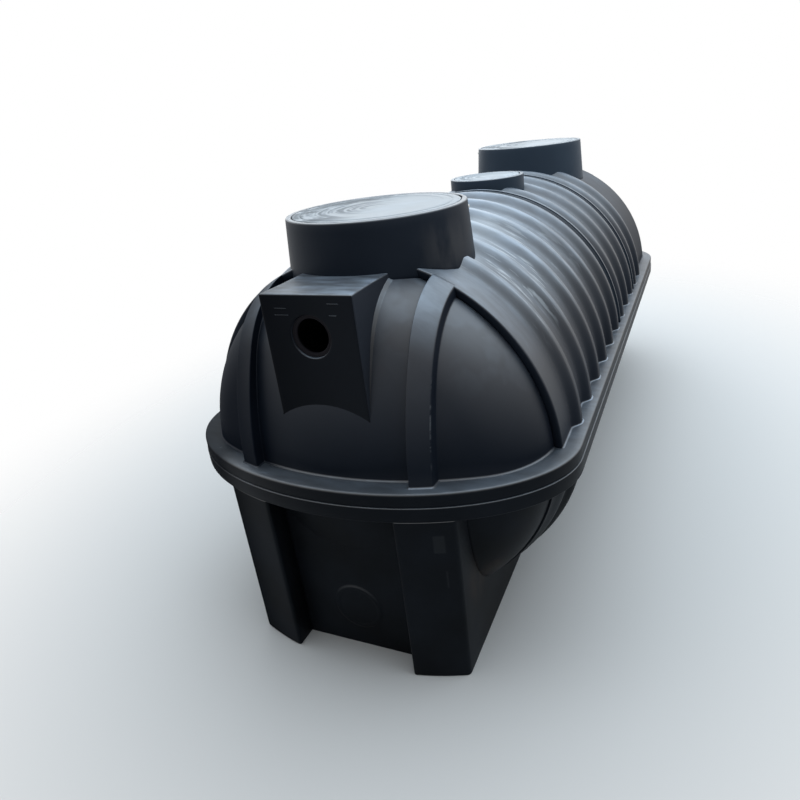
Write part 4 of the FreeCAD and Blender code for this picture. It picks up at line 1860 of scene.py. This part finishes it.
@dataclass
class Tank:
    """The whole tank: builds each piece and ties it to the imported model."""

    form: HullForm = HullForm()
    # Painted shade on the left front side and at the rear; the straps get pale film that is dust and painted
    # sheen, with a painted highlight along the right strap's edge.
    hull: MouldedPlastic = MouldedPlastic(
        "hull_plastic", deep=(0.0075, 0.0105, 0.0170), worn=(0.0115, 0.0150, 0.0230), dust_and_sheen_amount=0.08,
        painted_shade_fade=(-0.38, -0.12), painted_shade_side=0.82, painted_shade_rear=0.45, strap_dust_and_sheen=0.44, blotches=0.10, index=1.16)
    # Pale film on the ribs: dust with a painted highlight on the crests and round the first ribs; painted
    # shade at the rear.
    ribbed: MouldedPlastic = MouldedPlastic(
        "barrel_plastic", deep=(0.0075, 0.0105, 0.0170), worn=(0.0115, 0.0155, 0.0240), dust_and_sheen_amount=0.35,
        crest_dust_and_highlight=0.50, painted_shade_rear=0.5, index=1.18)
    # A lighter copy of the plastic: painted light that lifts the shade in the grooves beside the bands; the
    # crests also get a painted highlight.
    seam: MouldedPlastic = MouldedPlastic(
        "seam_painted_light_plastic", deep=(0.016, 0.024, 0.036), worn=(0.020, 0.028, 0.040), crest_dust_and_highlight=0.30)
    # Painted shade on the left front side.
    ring: MouldedPlastic = MouldedPlastic(
        "flange_plastic", deep=(0.0032, 0.0040, 0.0058), dust_and_sheen_amount=0.17, painted_shade_side=0.85, index=1.16)
    # Painted shade on the left side; painted light on the faces that look to the right.
    block: MouldedPlastic = MouldedPlastic(
        "box_plastic", deep=(0.0018, 0.0024, 0.0038), worn=(0.004, 0.005, 0.008), dust_and_sheen_amount=0.38,
        brushing=1.3, painted_shade_fade=(-0.22, 0.16), painted_shade_side=0.6, painted_light_flank=(0.030, 0.034, 0.044))
    collar: MouldedPlastic = MouldedPlastic(
        "collar_plastic", deep=(0.010, 0.014, 0.022), worn=(0.018, 0.023, 0.033), dust_and_sheen_amount=0.10,
        scuffs=0.15, smear=(0.31, -1.25, 1.40))
    # A lighter, bluer copy of the collar finish: painted light on the far necks.
    far_collar_painted_light: MouldedPlastic = MouldedPlastic(
        "far_collar_plastic", deep=(0.046, 0.062, 0.084), worn=(0.054, 0.072, 0.096), dust_and_sheen_amount=0.20,
        scuffs=0.15)
    # Painted shade on the left front side.
    base: MouldedPlastic = MouldedPlastic(
        "base_plastic", deep=(0.0034, 0.0038, 0.0046), dust_and_sheen_amount=0.08, scuffs=0.1, painted_shade_fade=(-0.45, -0.20),
        painted_shade_side=0.9, index=1.16, smear=(0.43, -1.52, 0.34), mud=(0.034, 0.023, 0.018),
        rubs=((0.352, 0.395, 0.530, 0.604), (0.382, 0.394, 0.391, 0.466)))

    def settle(self, piece: Object, slot: Slot, *nodes: str) -> None:
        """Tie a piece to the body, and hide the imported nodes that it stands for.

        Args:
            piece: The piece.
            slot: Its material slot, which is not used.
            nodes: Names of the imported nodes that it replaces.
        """
        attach(piece, BODY)
        if nodes:
            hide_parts(*nodes)
        log.info("%s: %d faces", piece.name, len(piece.data.polygons))

    def build_barrel(self, lower: Material) -> None:
        """Build both halves of the barrel, and the seam bands.

        Args:
            lower: Finish of the lower half.
        """
        sides, parts = [side.name.lower() for side in Side], ("front", "middle", "rear")
        self.settle(Barrel(self.form, self.ribbed.build()).build(True), Slot.HULL,
                    *[f"upper_barrel_{part}_{side}" for side in sides for part in parts])
        self.settle(Barrel(self.form, lower).build(False), Slot.HULL,
                    *[f"lower_barrel_{side}" for side in sides])
        bands = SeamBands(self.form, self.seam.build())
        for place, name in zip(bands.places, ("seam_band_middle", "seam_band_rear")):
            self.settle(bands.build(place, name), Slot.HULL, name)
            self.settle(bands.build_foot(place, f"{name}_foot"), Slot.HULL)

    def build_ends(self, lower: Material) -> None:
        """Build the domes with their boxes, and the cheeks and panels below them.

        Args:
            lower: Finish of what lies below the flange.
        """
        dome, cheek = DomeEnd(self.form, self.hull.build()), DomeEnd(self.form, lower)
        box = PipeBox(self.form, self.block.build(), PipeRubber("seal_rubber").build())
        pedestal = Pedestal(self.form, lower)
        for end, inlet in ((End.FRONT, "inlet"), (End.REAR, "outlet")):
            label = end.name.lower()
            self.settle(dome.build_upper(end), Slot.HULL, f"{label}_dome", f"{label}_strap_left",
                        f"{label}_strap_right")
            for side in Side:
                self.settle(cheek.build_cheek(end, side), Slot.HULL,
                            f"lower_cheek_{label}_{side.name.lower()}")
            self.settle(box.build(end, f"{inlet}_box"), Slot.HULL, f"{inlet}_box")
            self.settle(box.build_fillets(end, f"{inlet}_box_fillets"), Slot.HULL)
            self.settle(box.build_marks(end, f"{inlet}_box_marks"), Slot.HULL)
            self.settle(box.build_seal(end, f"{inlet}_seal"), Slot.SEAL, f"{inlet}_seal")
            self.settle(pedestal.build_panel(end), Slot.HULL, f"{label}_recess_panel")

    def build_base(self, lower: Material) -> None:
        """Build the flange, and the pedestal's sides and floor.

        Args:
            lower: Finish of the pedestal.
        """
        flange, pedestal = Flange(self.form, self.ring.build()), Pedestal(self.form, lower)
        self.settle(flange.build_upper(), Slot.HULL, "upper_flange")
        self.settle(flange.build_lower(), Slot.HULL, "lower_flange")
        for side in Side:
            label = side.name.lower()
            self.settle(pedestal.build_side(side), Slot.HULL, f"pedestal_side_{label}", f"front_leg_{label}",
                        f"rear_leg_{label}")
        self.settle(pedestal.build_floor(), Slot.HULL, "pedestal_floor")

    def build_necks(self) -> None:
        """Build the necks with their lids and screws."""
        # The middle and rear necks take the lighter copy of the collar finish, a painted light.
        near, far, steel = self.collar.build(), self.far_collar_painted_light.build(), ScrewSteel("screw_steel").build()
        for neck in (Neck(self.form, near, "front", -1.125, 0.320, 1.518),
                     Neck(self.form, far, "middle", 0.167, 0.190, 1.460, draft=0.0, lid_dirt_and_sheen=0.85),
                     Neck(self.form, far, "rear", 1.075, 0.318, 1.545, rim_wall=0.017, ledge_wall=0.033)):
            self.settle(neck.build(), Slot.HULL, f"{neck.label}_neck")
            self.settle(neck.build_lid(), Slot.LID, f"{neck.label}_lid")
            if neck.label != "middle":
                self.settle(LidScrews(neck, steel).build(), Slot.LID)

    def build(self) -> None:
        """Build and dress every piece."""
        lower = self.base.build()
        self.build_barrel(lower)
        self.build_ends(lower)
        self.build_base(lower)
        self.build_necks()


def main() -> None:
    """Build the tank and its studio."""
    logging.basicConfig(level=logging.INFO, format="%(name)s %(message)s")
    Tank().build()
    Studio().build()


if __name__ == "__main__":
    main()
